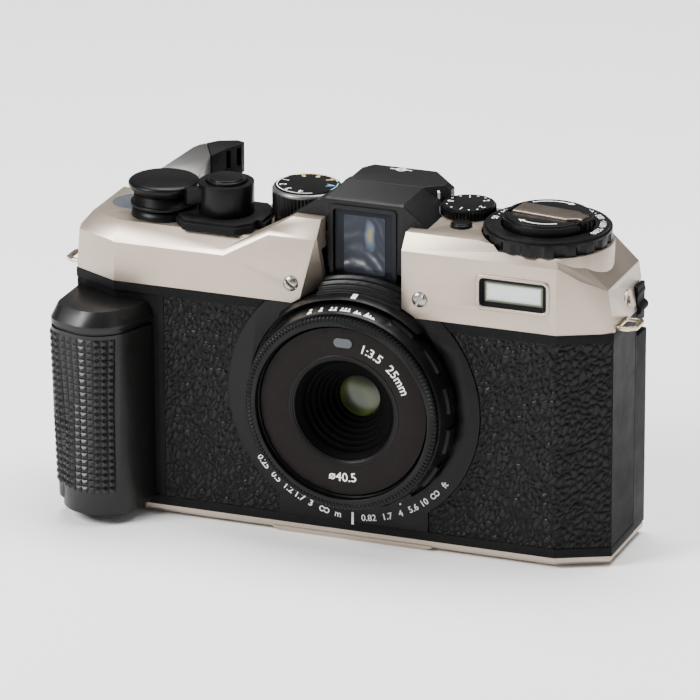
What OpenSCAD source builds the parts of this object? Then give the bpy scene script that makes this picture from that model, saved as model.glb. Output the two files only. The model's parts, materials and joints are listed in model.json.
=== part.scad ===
// Half frame compact film camera, front facing -Y, +Z up.
// Origin: mouth of the tripod socket, on the lens axis, at the level the camera stands on.

/* [Body] */
// Width of the body without the strap lugs
body_w = 127; // [125:0.5:129]
// Distance from the lens axis to the body's right side
right_w = 58.5; // [58:0.1:59]
// Width of each front corner chamfer
chamfer_w = 11.35; // [10.5:0.05:12]
// Depth of each front corner chamfer
chamfer_d = 5.65; // [5:0.05:6]
// Depth of the body from front face to back cover
body_d = 28.6; // [28.4:0.1:29]
// Height of the standing plinth under the bottom plate
plinth_h = 0.8; // [0.6:0.1:1]

/* [Levels] */
// Top of the bottom plate
plate_top = 2.6; // [2.5:0.1:2.8]
// Lower edge of the leatherette
leather_low = 4.7; // [4.6:0.1:5]
// Upper edge of the leatherette
leather_high = 52.6; // [52.4:0.1:52.8]
// Lower edge of the top cover
cover_low = 54.7; // [54.6:0.1:54.9]
// Deck of the top cover on the grip side
deck_left = 68; // [67.8:0.1:68.2]
// Deck of the top cover on the rewind side
deck_right = 73.5; // [73.4:0.1:73.6]
// Top of the viewfinder hood
hood_top = 78.3; // [78.1:0.1:78.5]

/* [Lens] */
// Height of the lens axis
lens_z = 33.3; // [33.1:0.1:33.5]
// Radius of the flat base ring around the lens
base_r = 29.7; // [29.5:0.1:29.9]
// Radius of the filter thread
filter_r = 20.25; // [20.25:0.25:20.5]
// How far the front ring stands ahead of the front face
lens_out = 8.15; // [8:0.05:8.4]
// Width of the half frame picture
frame_w = 17; // [16:0.5:18]
// Height of the half frame picture
frame_h = 24; // [23:0.5:24]

/* [Controls] */
// Distance of the wind lever axis from the lens axis
lever_x = 49.5; // [49.3:0.1:49.7]
// Teeth on the wind lever's gear
lever_teeth = 36; // [36]
// Teeth on the idler gear
idler_teeth = 19; // [19]
// Teeth on the sprocket's gear
sprocket_teeth = 26; // [26]
// Radius of the film speed dial
iso_r = 14.2; // [14:0.1:14.3]
// Radius of the mode dial
mode_r = 7.9; // [7.6:0.1:8]

/* [Hidden] */
$fn = 64;

// Depths are measured back from the front face, which lies at front_y.
front_y = -14;
left_x = right_w - body_w;
right_x = right_w;
seam_d = 20.8;
chassis_back = 24;
door_in = 27.3;
fit_gap = 0.05;
gear_module = 0.5;

// Control axes, as [x, depth].
lever_axis = [-lever_x, 11.5];
shutter_axis = [-34.4, 11.3];
mode_axis = [-17.2, 16.7];
exposure_axis = [19.9, 19.5];
lock_axis = [21.4, 10.6];
rewind_axis = [40.2, 14.35];
counter_axis = [-58.3, 16.4];
battery_axis = [-59.3, -3.2];
hinge_axis = [-67.1, 26.2];
release_axis = [-38, 9.5];
wind_distance = gear_module * (lever_teeth / 2 + idler_teeth + sprocket_teeth / 2);
sprocket_axis = [lever_axis[0] + sqrt(wind_distance * wind_distance - 6.45 * 6.45), lever_axis[1] + 6.45];
idler_share = gear_module * (lever_teeth + idler_teeth) / 2 / wind_distance;
idler_axis = lever_axis + idler_share * (sprocket_axis - lever_axis);
// Folding rewind crank: its level, thickness, turn in plan, pivot end and knob position.
knob_z = 73.7;
crank_z = knob_z + 3.2;
crank_t = 1.2;
crank_turn = -8;
crank_tail = -7.0;
crank_reach = 8.0;
// Turns, in teeth, that set each gear between the teeth of the one before it.
train_angle = atan2(6.45, sprocket_axis[0] - lever_axis[0]);
idler_turn = (train_angle + 180) / 360 * idler_teeth - 0.5 + train_angle / 360 * lever_teeth;
sprocket_turn = (train_angle + 180) / 360 * sprocket_teeth - 0.5 + train_angle / 360 * idler_teeth - idler_turn;
// Fixing screws in the underside, as [x, depth].
screw_spots = [[-30, 5], [-30, 21.4], [25.6, 5], [22, 21.4]];
// Sheet thickness and edge slope of the top cover, and the seat of the film speed dial.
wall = 1.2;
bevel = 1.3;
iso_seat = 71.9;
grip_left = left_x - 0.9;
// Outer edges of the flash frame.
flash_x = [28.5, 45.7];
flash_z = [58.7, 66.9];
baffle_steps = 6;
// Distance of the light sensor from the lens axis.
sensor_r = 16;
// Indicator lamps beside the eyepiece.
lamp_x = 12.6;
lamp_z = [60.4, 64.0];
lever_z = 68.7;
// Door hinge: radii, and the heights of the door's two knuckles.
knuckle_r = 1.7;
pin_r = 0.75;
knuckle_z = [[5.2, 19.8], [37.4, 52]];

// ---------------------------------------------------------------- helpers

// Moves children to a point given as x, depth behind the front face, and height.
module at(x, d, z) translate([x, front_y + d, z]) children();

// Moves children to a control axis.
module on(axis, z) translate([axis[0], front_y + axis[1], z]) children();

// A box from low corner to high corner, in x, depth and height.
module block(x0, x1, d0, d1, z0, z1)
    translate([x0, front_y + d0, z0]) cube([x1 - x0, d1 - d0, z1 - z0]);

// A tube along +Z from the origin.
module tube(r_out, r_in, h) difference() {
    cylinder(r = r_out, h = h);
    translate([0, 0, -1]) cylinder(r = r_in, h = h + 2);
}

// Turns children so that their +Z points along -Y, on the lens axis, starting at a depth.
module lens_axis_at(d) translate([0, front_y + d, lens_z]) rotate([90, 0, 0]) children();

// A ring on the lens axis from depth d0 forward to depth d1 (d1 < d0).
module lens_ring(r_out, r_in, d0, d1) lens_axis_at(d0) tube(r_out, r_in, d0 - d1);

// Body outline in plan, inset by i, from the front face to depth back.
function plan(i, back) =
    let (len = sqrt(chamfer_w * chamfer_w + chamfer_d * chamfer_d),
         nx = chamfer_d / len, ny = chamfer_w / len,
         fx = i * (1 - ny) / nx, sd = i * (1 - nx) / ny)
    [[left_x + chamfer_w + fx, front_y + i], [right_x - chamfer_w - fx, front_y + i],
     [right_x - i, front_y + chamfer_d + sd], [right_x - i, front_y + back],
     [left_x + i, front_y + back], [left_x + i, front_y + chamfer_d + sd]];

module plan_slab(i, back, z0, z1) translate([0, 0, z0]) linear_extrude(z1 - z0) polygon(plan(i, back));

// A wall that follows the outline between two insets.
module plan_wall(i_out, i_in, back, z0, z1) difference() {
    plan_slab(i_out, back, z0, z1);
    plan_slab(i_in, back + 1, z0 - 1, z1 + 1);
}

// Everything below the plane through point p (x, depth, height) with upward normal n.
module below(p, n) {
    size = 400;
    at(p[0], p[1], p[2])
        rotate([0, acos(n[2] / norm(n)), atan2(n[1], n[0])])
            translate([-size / 2, -size / 2, -size]) cube(size);
}

// Knurled disc outline with n ridges of depth t inside radius r.
module knurl(r, n, t, h) linear_extrude(h) polygon([for (i = [0:2 * n - 1])
    let (a = i * 180 / n, q = r - (i % 2) * t) [q * cos(a), q * sin(a)]]);

// Spur gear with straight sided teeth and a little backlash.
module gear(teeth, h) {
    rp = gear_module * teeth / 2;
    ra = rp + 0.85 * gear_module;
    rf = rp - 1.2 * gear_module;
    step = 360 / teeth;
    linear_extrude(h) polygon([for (i = [0:teeth - 1]) let (a = i * step)
        each [[rf * cos(a - 0.34 * step), rf * sin(a - 0.34 * step)],
              [ra * cos(a - 0.11 * step), ra * sin(a - 0.11 * step)],
              [ra * cos(a + 0.11 * step), ra * sin(a + 0.11 * step)],
              [rf * cos(a + 0.34 * step), rf * sin(a + 0.34 * step)]]]);
}

// A slotted screw whose head points up, with its head's top at the origin.
module slotted_screw(head_r, head_h, shank_r, len) difference() {
    union() {
        translate([0, 0, -head_h]) cylinder(r = head_r, h = head_h);
        translate([0, 0, -len]) cylinder(r = shank_r, h = len);
    }
    translate([-head_r - 1, -0.22, -0.45 * head_h]) cube([2 * head_r + 2, 0.44, head_h]);
}

// ---------------------------------------------------------------- bottom and chassis

module bottom_plate() color("#b9aea0") difference() {
    union() {
        hull() {
            plan_slab(0, body_d - 1, plinth_h + 0.8, plate_top);
            plan_slab(0.8, body_d - 1.8, plinth_h, plate_top);
        }
        hull() {
            block(-19.5, 18.3, 0.2, body_d - 2, plinth_h, plinth_h + 0.4);
            block(-16.3, 16.3, 0.6, body_d - 2.6, 0, 0.4);
        }
    }
    at(0, 14, -1) cylinder(r = 5.25, h = 6);
    for (s = screw_spots) at(s[0], s[1], -1) {
        cylinder(r = 1.0, h = 6);
        cylinder(r = 2.1, h = 1 + plinth_h + 1.1);
    }
    on(battery_axis, -1) cylinder(r = 9.6, h = 6);
    on(release_axis, -1) cylinder(r = 2.3, h = 6);
}

module tripod_socket() color("#9a9a9a") at(0, 14, 0) difference() {
    union() {
        cylinder(r = 5.2, h = plate_top);
        cylinder(r = 4.6, h = 7);
    }
    translate([0, 0, -1]) cylinder(r = 3.175, h = 6.5);
}

module bottom_screws() color("#8a8a8a") for (s = screw_spots)
    at(s[0], s[1], plinth_h + 0.1) mirror([0, 0, 1]) slotted_screw(2.0, 0.9, 0.95, 3.4);

module film_chassis() color("#202022") difference() {
    plan_slab(1.5, chassis_back, plate_top + 0.1, cover_low - 0.9);
    // Cartridge chamber and its way out to the back.
    on(rewind_axis, 4.5) cylinder(r = 12.95, h = 48);
    block(rewind_axis[0] - 12.95, rewind_axis[0] + 12.95, rewind_axis[1], 30, 4.5, 52.5);
    on(rewind_axis, 50) cylinder(r = 3.4, h = 10);
    // Take-up chamber.
    on(lever_axis, 4.5) cylinder(r = 8.6, h = 48);
    block(lever_axis[0] - 8.6, lever_axis[0] + 8.6, lever_axis[1], 30, 4.5, 52.5);
    on(lever_axis, 0) cylinder(r = 1.85, h = 60);
    // Sprocket chamber.
    on(sprocket_axis, 4.5) cylinder(r = 7, h = 48);
    block(sprocket_axis[0] - 7, sprocket_axis[0] + 7, sprocket_axis[1], 30, 4.5, 52.5);
    on(sprocket_axis, 0) cylinder(r = 1.25, h = 60);
    on(idler_axis, 50) cylinder(r = 0.95, h = 10);
    // Light path: lens well, shutter seat, cone and film gate.
    lens_ring(22.4, 0, 9, 0);
    lens_ring(18.2, 0, 17.2, 8);
    block(-11, 11, 17, 22.4, lens_z - 14.5, lens_z + 14.5);
    block(-frame_w / 2, frame_w / 2, 20, 30, lens_z - frame_h / 2, lens_z + frame_h / 2);
    // Front pocket for the flash capacitor, and the battery tube's recess.
    block(-38, -23, 0, 9.6, 6, 50);
    block(24, 27.4, 0, 20, 8, 50);
    on(battery_axis, 0) cylinder(r = 9.1, h = 51);
    // Tripod bush, bottom screws, rewind release.
    at(0, 14, 0) cylinder(r = 4.7, h = 7.2);
    for (s = screw_spots) at(s[0], s[1], 0) cylinder(r = 1.0, h = 5);
    on(release_axis, 0) cylinder(r = 2.3, h = 8);
    // Rear rebate for the hinge knuckles.
    on(hinge_axis, 0) cylinder(r = 2.6, h = 60);
}

module lens_cutout(r, d0, d1) {
    intersection() {
        lens_ring(r, 0, d1, d0);
        block(-60, 60, d0 - 1, d1 + 1, leather_low, 200);
    }
    block(-17.7, 17.7, d0, d1, leather_low, 15);
}

module front_shell() color("#26262a") difference() {
    union() {
        plan_wall(0.5, 1.45, seam_d, plate_top, cover_low);
        plan_wall(-0.15, 1.45, seam_d, plate_top, leather_low);
        plan_wall(-0.15, 1.45, seam_d, leather_high, cover_low);
        block(-46.7, -45.3, 0, 1, leather_low, leather_high);
        difference() {
            plan_slab(0, seam_d, leather_low, leather_high);
            plan_slab(1.45, seam_d + 1, 0, 60);
            block(-60, 60, -5, chamfer_d, 0, 60);
            block(-70, 60, -5, chamfer_d, 0, 60);
        }
        // Side wall under the grip, up to the hinge.
        block(left_x, left_x + 1.45, chamfer_d + 1, 23.2, plate_top, cover_low);
    }
    lens_cutout(base_r + 0.1, -2, 3);
    on(battery_axis, 0) cylinder(r = 9.1, h = 50);
}

module front_leather() color("#1c1c1d") {
    difference() {
        intersection() {
            plan_wall(0, 0.5, 6, leather_low, leather_high);
            block(-45.25, 0, -1, 3, 0, 60);
        }
        lens_cutout(base_r + 0.12, -2, 3);
    }
    difference() {
        intersection() {
            plan_wall(0, 0.5, chamfer_d + 0.25, leather_low, leather_high);
            block(0, 70, -1, chamfer_d - 0.05, 0, 60);
        }
        lens_cutout(base_r + 0.12, -2, 3);
    }
}

// Grip outline in plan, inset by i: a rounded hump that fades into the front on the lens side.
// reach moves its front forward or back.
function grip_plan(i, reach) =
    let (x = grip_left + i, body_x = max(x, left_x - 0.17),
         body_d = (left_x + chamfer_w - body_x) * chamfer_d / chamfer_w - 0.17)
    concat(
        [for (a = [180:18:252]) [x + 5.2 - i + (5.2 - i) * cos(a), -5.6 - reach + (5.2 - i) * sin(a)]],
        [for (a = [260:10:330]) [-59.4 + (9.2 - i) * cos(a), -3.2 - reach + (9.2 - i) * sin(a)]],
        [[-48.0 - i, -0.7], [-48.0 - i, -0.17], [left_x + chamfer_w, -0.17],
         [body_x, body_d], [x, body_d]]);

module grip_slab(i, reach, z0, h)
    translate([0, front_y, z0]) linear_extrude(h) polygon(grip_plan(i, reach));

module grip_shell() color("#1f1f21") difference() {
    union() {
        difference() {
            union() {
                hull() {
                    grip_slab(1.6, -2, 2.8, 0.1);
                    grip_slab(0, -1.9, 4.4, 0.1);
                    grip_slab(0, 0.8, 45.6, 0.1);
                }
                grip_slab(0.5, 0.8, 45.5, 1.1);
                hull() {
                    grip_slab(0, 0.8, 46.5, 1.2);
                    grip_slab(1.5, 0.4, 50.4, 0.4);
                }
            }
            grip_slab(1.7, -2, 4.4, 44);
            plan_slab(-0.16, 40, 0, 60);
        }
        intersection() {
            on(battery_axis, 2.8) cylinder(r = 8.9, h = 46);
            block(grip_left, -40, -20, 20, 0, 60);
        }
    }
    on(battery_axis, 2) cylinder(r = 8.0, h = 43);
}

module battery_cover() color("#26262a") on(battery_axis, 2.9) difference() {
    union() {
        cylinder(r = 7.9, h = 2.4);
        cylinder(r = 5.4, h = 3.2);
        cylinder(r = 3.4, h = 4.4);
    }
    translate([-5, -0.8, -1]) cube([10, 1.6, 2]);
}

module battery_contacts() color("#c8b070") on(battery_axis, 43.4) {
    cylinder(r = 2.5, h = 1);
    translate([0, 0, 0.9]) cylinder(r = 5.5, h = 0.7);
}

// ---------------------------------------------------------------- top cover

// Solid outline of the low, grip side of the cover, shrunk by t.
module cover_left(t) intersection() {
    plan_slab(t, body_d - 1.4 - t, cover_low - (t > 0 ? 1 : 0), deck_left - t);
    block(-80, -8.6, -1, 40, 0, 100);
    below([0, t, 63.8], [0, -bevel, 1]);
    window_side(t);
    below([left_x + chamfer_w, 0.9 * t, 64.0], [-bevel * 0.4456, -bevel * 0.8952, 1]);
    below([left_x + 0.4 + t, 10, 64.2], [-1.25, 0, 1]);
    below([left_x + t, 10, cover_low], [-10, 0, 1]);
    below([0, body_d - 1.4 - t, 65.2], [0, 1.2, 1]);
}

// Solid outline of the high, rewind side of the cover, shrunk by t.
module cover_right(t) intersection() {
    plan_slab(t, body_d - 1.4 - t, cover_low - (t > 0 ? 1 : 0), deck_right - t);
    block(-8.5 + t, 80, -1, 40, 0, 100);
    below([0, t, 70], [0, -1.23, 1]);
    below([28, 0, deck_right - t], [0.124, 0, 1]);
    below([57, 0, 64.45 - 1.2 * t], [0.93, 0, 1]);
    below([right_x - chamfer_w, 0, 70.3 - 1.2 * t],
          [0.62 * 0.8952 + 1.1 * 0.4456, 0.62 * 0.4456 - 1.1 * 0.8952, 1]);
    below([right_x - t, 10, cover_low], [6.5, 0, 1]);
    below([right_x - t, 6.2, cover_low], [4.6, -6, 0.6]);
    below([0, body_d - 1.4 - t, 70.7], [0, 1.2, 1]);
}

// The raised block left of the viewfinder, with its ramp.
module cover_brow(t) intersection() {
    block(-36, -8.7 - t, t, 5.9 - t, cover_low - (t > 0 ? 1 : 0), 73.8 - t);
    below([-25.7, 0, deck_left - t * 1.1], [-0.567, 0, 1]);
    below([-25.7, 1 + t, deck_left], [-0.567, -bevel, 1]);
    below([0, t, 69.9], [0, -bevel, 1]);
    window_side(t);
}

// Face that leans back from the front face into the viewfinder gap.
module window_side(t) below([-12.9 - t, 0, 55], [3.85, -2.7, -1]);

module cover_holes() {
    // Viewfinder gap between the blocks, the lens ring under it, and the eyepiece.
    block(-8.7, 11.3, -5, 24, cover_low - 2, 90);
    block(-20, 15.2, 5.95, 32, deck_left, 90);
    lens_ring(25.9, 0, 12, -5);
    block(-7.9, 8.3, 20, 32, 60.2, 90);
    // Dial, lever and button holes.
    on(lever_axis, 60) cylinder(r = 3.4, h = 20);
    on(shutter_axis, 60) cylinder(r = 3.2, h = 20);
    on(mode_axis, 60) cylinder(r = 2.1, h = 20);
    on(exposure_axis, 60) cylinder(r = 1.6, h = 20);
    on(lock_axis, 60) cylinder(r = 2.45, h = 20);
    on(counter_axis, 60) cylinder(r = 5.4, h = 20);
    on(rewind_axis, 60) cylinder(r = 4.15, h = 20);
    // Flash opening and front screws.
    block(29.3, 44.9, -2, 6, 59.4, 66.2);
    for (x = [-14.8, 15.5]) at(x, 6, 59.2) rotate([90, 0, 0]) cylinder(r = 1.0, h = 9);
    // Recess for the latch at the rear corner, slots for the strap eyes, lamp holes.
    block(57.45, 62, 21.7, 30, 50, 60.3);
    for (x = [left_x - 1, right_x - 3]) block(x, x + 4, 7.5, 15.3, 54, 55.75);
    for (z = lamp_z) at(lamp_x, 30, z) rotate([90, 0, 0]) cylinder(r = 0.95, h = 8);
}

module top_cover() color("#b9aea0") difference() {
    union() {
        difference() {
            union() {
                cover_left(0);
                cover_right(0);
                cover_brow(0);
                intersection() {
                    on(rewind_axis, 60) cylinder(r = iso_r + 0.5, h = iso_seat - 60);
                    block(0, right_x - 0.8, 0.6, body_d - 1.4, 0, 90);
                    below([0, 0.6, 70.6], [0, -1.23, 1]);
                }
            }
            cover_left(wall);
            cover_right(wall);
            cover_brow(wall);
            on(rewind_axis, iso_seat) cylinder(r = iso_r + 0.35, h = 20);
        }
        // Boss of the release socket.
        at(right_x - 0.6, 17.4, 58.3) rotate([0, -90, 0]) cylinder(r = 2.6, h = 8);
    }
    cover_holes();
    at(right_x + 2, 17.4, 58.3) rotate([0, -90, 0]) cylinder(r = 1.25, h = 9.2);
}

module cover_screws() color("#b0aba2") for (x = [-14.8, 15.5])
    at(x, -0.35, 59.2) rotate([90, x < 0 ? -52 : 38, 0]) slotted_screw(1.75, 0.3, 0.95, 3.5);

// Flat strap eye at each end, lying level, with a rounded slot.
module strap_lugs() color("#c9b98f") for (side = [-1, 1])
    translate([side > 0 ? right_x - 2.4 : left_x + 2.4, front_y + 11.4, cover_low + 0.05])
        mirror([side > 0 ? 0 : 1, 0, 0]) linear_extrude(0.9) difference() {
            polygon([[0, -3.6], [4.7, -3.6], [6.7, -1.9], [6.7, 2.6], [5.9, 3.6], [0, 3.6]]);
            polygon([[2.7, -2.5], [4.3, -2.5], [5.6, -1.5], [5.6, 2.2], [5.2, 2.6], [2.7, 2.6]]);
        }

// ---------------------------------------------------------------- flash and electronics

module flash_bezel() color("#cfc6b8") difference() {
    union() {
        block(flash_x[0], flash_x[1], -0.3, 0, flash_z[0], flash_z[1]);
        block(29.35, 44.85, -0.2, 3.2, 59.45, 66.15);
    }
    block(30.3, 43.9, -1, 4, 60.4, 65.2);
}

module flash_window() color("#dfe6dc") block(30.35, 43.85, 0.9, 1.7, 60.45, 65.15);

module flash_reflector() color("#d8d8d4") difference() {
    block(30.0, 44.2, 3.3, 9.3, 59.4, 66.2);
    hull() {
        block(30.8, 43.4, 3.2, 3.3, 60.2, 65.4);
        block(31.8, 42.4, 8.2, 8.3, 61.8, 63.8);
    }
}

module flash_tube() color("#e8e4dc") at(31.9, 6.0, 62.8) rotate([0, 90, 0]) cylinder(r = 0.9, h = 10.4);

module flash_capacitor() color("#2b3138") at(-30.5, 5.6, 8) cylinder(r = 3.9, h = 40);

module circuit_board() color("#2f6b45") difference() {
    block(-59.5, -12, 4.2, 24.5, 54.9, 55.9);
    on(lever_axis, 50) cylinder(r = 3.8, h = 10);
    on(idler_axis, 50) cylinder(r = 1.6, h = 10);
    on(sprocket_axis, 50) cylinder(r = 2, h = 10);
    block(-16, 0, 0, 12, 50, 60);
}

// ---------------------------------------------------------------- lens

// A turned piece on the lens axis, from [radius, distance ahead of the front face] points.
module lens_turn(points) lens_axis_at(0) rotate_extrude() polygon(points);

module lens_base() color("#1b1b1e") {
    difference() {
        union() {
            intersection() {
                lens_ring(base_r, 0, 1.4, -0.25);
                block(-40, 40, -1, 2, leather_low + 0.05, cover_low - 0.05);
            }
            block(-17.6, 17.6, -0.25, 1.4, leather_low + 0.05, 15);
            // Raised shroud over the top of the ring.
            intersection() {
                lens_turn([[23, -1.4], [25.6, -1.4], [25.6, 0], [25.4, 1.5], [24.95, 3.2], [23, 3.2]]);
                block(-40, 40, -5, 3, 52.2, 80);
            }
        }
        lens_ring(24.75, 0, 0.6, -8);
        lens_ring(21.5, 0, 3, -8);
    }
    // Stepped ridges rising to the viewfinder window.
    intersection() {
        lens_turn([[24.9, -0.1], [24.9, 0.5], [26.2, 0.2], [26.2, -0.8], [26.9, -1], [26.9, -2],
                   [27.6, -2.3], [27.6, -3.4], [28.3, -3.8], [28.3, -5.6], [25.2, -5.6], [25.2, -0.1]]);
        block(-8.6, 11.2, -3, 5.7, 54.8, 80);
    }
}

module focus_ring() color("#19191b") lens_axis_at(0) difference() {
    union() {
        rotate_extrude() polygon([[21.4, -0.3], [23.8, -0.3], [23.8, 3.4], [22.9, 6.8], [21.4, 6.8]]);
        for (i = [0:5]) rotate(-58 + i * 23) translate([0, 0, 1])
            linear_extrude(3.2) intersection() {
                circle(r = 24.35);
                polygon([[20, -2.6], [26, -3.1], [26, 3.1], [20, 2.6]]);
            }
    }
    translate([0, 0, -2]) cylinder(r = 21.38, h = 12);
}

module lens_barrel() color("#202022") lens_turn([
    [22.25, lens_out], [22.25, 7.0], [21.3, 7.0], [21.3, -6.5], [10.2, -6.5], [10.2, -5],
    [12.6, -5], [12.6, 5.5], [19.6, 5.5], [19.6, 6.0], [filter_r, 6.6], [filter_r, lens_out]]);

module name_ring() color("#2a2422") lens_turn([[12.7, 5.55], [19.5, 5.55], [19.5, 6.6], [12.2, 6.3], [11.6, 5.8], [12.7, 5.6]]);

module lens_baffle() color("#121214") lens_turn(concat(
    [[12.55, -4.9], [12.55, 5.5], [11.5, 5.5], [10.5, 4.3]],
    [for (i = [1:baffle_steps]) let (f = i / baffle_steps, r = 10.5 - 5.5 * f, q = 4.3 - 7.6 * f)
        each [[r + 5.5 / baffle_steps - 0.25, q], [r, q]]],
    [[5.0, -4.9]]));

module front_element() color("#5a6a2c") intersection() {
    lens_axis_at(18.1) sphere(r = 14.6, $fn = 96);
    lens_ring(4.95, 0, 4.85, -5);
}

module rear_elements() color("#77808a") {
    lens_ring(10.15, 0, 6.4, 5.1);
    lens_ring(6.5, 0, 8.2, 6.4);
}

// Pill shaped light sensor window above the lens opening.
module light_sensor() color("#6c757c") lens_axis_at(-6.51) linear_extrude(0.14) hull()
    for (x = [-1.1, 1.1]) translate([x, sensor_r]) circle(r = 1.05);

module shutter_case() color("#3a3a3d") difference() {
    union() {
        lens_ring(17.8, 3.6, 11.4, 9.6);
        lens_ring(17.8, 16.4, 14.4, 11.3);
        lens_ring(17.8, 3.6, 16.4, 14.3);
        for (side = [-1, 1]) translate([0, front_y + 14.35, lens_z + side * 7.5]) rotate([90, 0, 0])
            cylinder(r = 0.8, h = 3);
    }
}

module blade(side, d) color("#4d5054") difference() {
    union() {
        lens_ring(4.0, 0, d + 0.4, d);
        lens_axis_at(d + 0.4) linear_extrude(0.4) hull() {
            translate([0, side * 7.5]) circle(r = 1.6);
            translate([0, side * 2]) circle(r = 2.4);
        }
    }
    translate([0, 0, side * 7.5]) lens_ring(0.84, 0, d + 1, d - 1);
}
module shutter_blade_a() blade(1, 11.9);
module shutter_blade_b() blade(-1, 13.2);

// ---------------------------------------------------------------- viewfinder

module viewfinder_hood() color("#1c1c1f") difference() {
    union() {
        // Sloped front part, level top and sloping flanks.
        hull() {
            block(-16.6, 15.0, 6, 6.2, 72.6, 73.5);
            block(-9.0, 9.6, 6, 6.2, hood_top - 0.5, hood_top - 0.4);
            block(-8.6, 9.3, 7, 21, hood_top - 0.1, hood_top);
            block(-13.6, 15.0, 20.6, 20.8, 72.6, 73.5);
        }
        // Wider rear housing with cut corners, over the eyepiece.
        hull() {
            at(0, 0, 73.6) linear_extrude(3.4) polygon(hood_rear_plan(0));
            at(0, 0, 73.6) linear_extrude(hood_top - 73.5) polygon(hood_rear_plan(1));
        }
        block(-8.4, 11.0, 6, 24, 62, 73.7);
        block(-7.7, 8.1, 6, 31.2, 60.4, 73.7);
    }
    block(-6.9, 7.1, 5, 7.2, 55, 75.9);
    block(-6.0, 6.4, 6, 34, 61.2, 74.9);
    on(exposure_axis, 60) cylinder(r = 6.6, h = 30, $fn = 64);
    on(mode_axis, 60) cylinder(r = mode_r + 0.4, h = 30, $fn = 64);
}
function hood_rear_plan(i) = [[-9.2 + i, 19], [10.4 - i, 19], [14.4 - i, 22.2], [14.4 - i, 25.4 - i],
                              [8.4, 31.4 - i], [-6.4, 31.4 - i], [-9.2 + i, 28.4 - i]];

module viewfinder_window() color("#30343a") difference() {
    block(-6.8, 7.0, 6.3, 7.1, 60.4, 75.8);
    block(-5.0, 5.2, 5, 6.6, 61.6, 74.4);
}

module eyepiece_frame() color("#1c1c1f") difference() {
    block(-8.6, 9.0, 31.45, 33.6, 60.2, 75.0);
    block(-5.4, 5.8, 30, 35, 62.2, 73.0);
    block(-6.4, 6.8, 32.4, 35, 61.2, 74.0);
}

module eyepiece_lens() color("#5b6570") block(-5.35, 5.75, 31.5, 32.3, 62.25, 72.95);

module indicator_lamps() color("#7fae62") for (z = lamp_z)
    at(lamp_x, 24.6, z) rotate([-90, 0, 0]) cylinder(r = 0.9, h = 3);

// ---------------------------------------------------------------- film wind

// The arm runs back from the hub and its top rises towards the thumb tip.
module rising_top() below([0, lever_axis[1] + 7, 75.2], [0, -0.2, 1]);

module wind_lever() color("#55565a") {
    on(lever_axis, deck_left + 0.15) cylinder(r = 6.3, h = 1.4);
    on(lever_axis, lever_z + 0.8) cylinder(r = 4.6, h = 1.8);
    on(lever_axis, lever_z + 2.4) cylinder(r = 6.6, h = 1.95);
    difference() {
        intersection() {
            on(lever_axis, lever_z + 2.4) linear_extrude(6.7) polygon([
                [-5.2, 2], [-4.4, 7], [-0.6, 18.6], [1.4, 21.5], [4.8, 15.6], [5.8, 5], [4, 0], [-3, 0]]);
            rising_top();
        }
        on(lever_axis, lever_z + 4.35) cylinder(r = 8.3, h = 20);
    }
}

module lever_tip() color("#1d1d1f") difference() {
    intersection() {
        on(lever_axis, lever_z + 2.2) linear_extrude(6.9) polygon([
            [1.45, 21.65], [3.2, 24.2], [7.2, 26.0], [9.2, 25.2], [9.3, 23.4], [4.95, 15.7], [4.85, 15.8]]);
        rising_top();
    }
    for (q = [9, 12]) on(lever_axis, lever_z + 4.2) translate([4.9, 15.7, 0]) rotate(60.5)
        translate([q - 4.6, -1.2, 0]) cube([1.1, 2.1, 4.2]);
}

module lever_cap() color("#1d1d1f") on(lever_axis, lever_z + 4.4)
    rotate_extrude() polygon([
        [0, 0], [6.6, 0], [7.5, 1.0], [8.0, 1.7], [8.0, 2.4], [7.6, 2.8], [6.7, 3.1], [0, 3.1]]);

module wind_shaft() color("#9a9a9a") on(lever_axis, 57) {
    gear(lever_teeth, 2);
    translate([0, 0, 1.9]) cylinder(r = 3.35, h = deck_left + 0.15 - 58.9);
    translate([0, 0, -3]) cylinder(r = 1.8, h = 3.1);
}

module idler_gear() color("#b59a5c") on(idler_axis, 57) rotate(idler_turn / idler_teeth * 360) {
    gear(idler_teeth, 2);
    translate([0, 0, -6]) cylinder(r = 0.9, h = 6.1);
}

module film_sprocket() color("#2a2a2c") on(sprocket_axis, 0) {
    translate([0, 0, 57]) rotate(sprocket_turn / sprocket_teeth * 360) gear(sprocket_teeth, 2);
    translate([0, 0, 3.2]) cylinder(r = 1.2, h = 54);
    translate([0, 0, 5]) cylinder(r = 3.6, h = 46);
    for (z = [11.2, 40.2]) translate([0, 0, z]) {
        cylinder(r = 4.9, h = 6);
        translate([0, 0, 2.2]) linear_extrude(1.6) for (i = [0:5]) rotate(i * 60)
            polygon([[4, -0.9], [6.1, -0.45], [6.1, 0.45], [4, 0.9]]);
    }
}

module take_up_spool() color("#2a2a2c") on(lever_axis, 0) {
    translate([0, 0, 3.2]) cylinder(r = 1.8, h = 50.4);
    difference() {
        translate([0, 0, 5]) cylinder(r = 5.6, h = 46.6);
        for (a = [0, 120, 240]) rotate(a) translate([3.6, -0.8, 8]) cube([4, 1.6, 40]);
    }
    for (z = [5, 49.8]) translate([0, 0, z]) cylinder(r = 8.1, h = 1.8);
}

module counter_window() color("#9aa3ab") on(counter_axis, deck_left - 0.8) cylinder(r = 5.35, h = 0.85);

module frame_counter() color("#1d1d1f") on(counter_axis, 61) {
    translate([0, 0, 4]) cylinder(r = 5.1, h = 1);
    cylinder(r = 1.2, h = 4.1);
}

// ---------------------------------------------------------------- top controls

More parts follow.
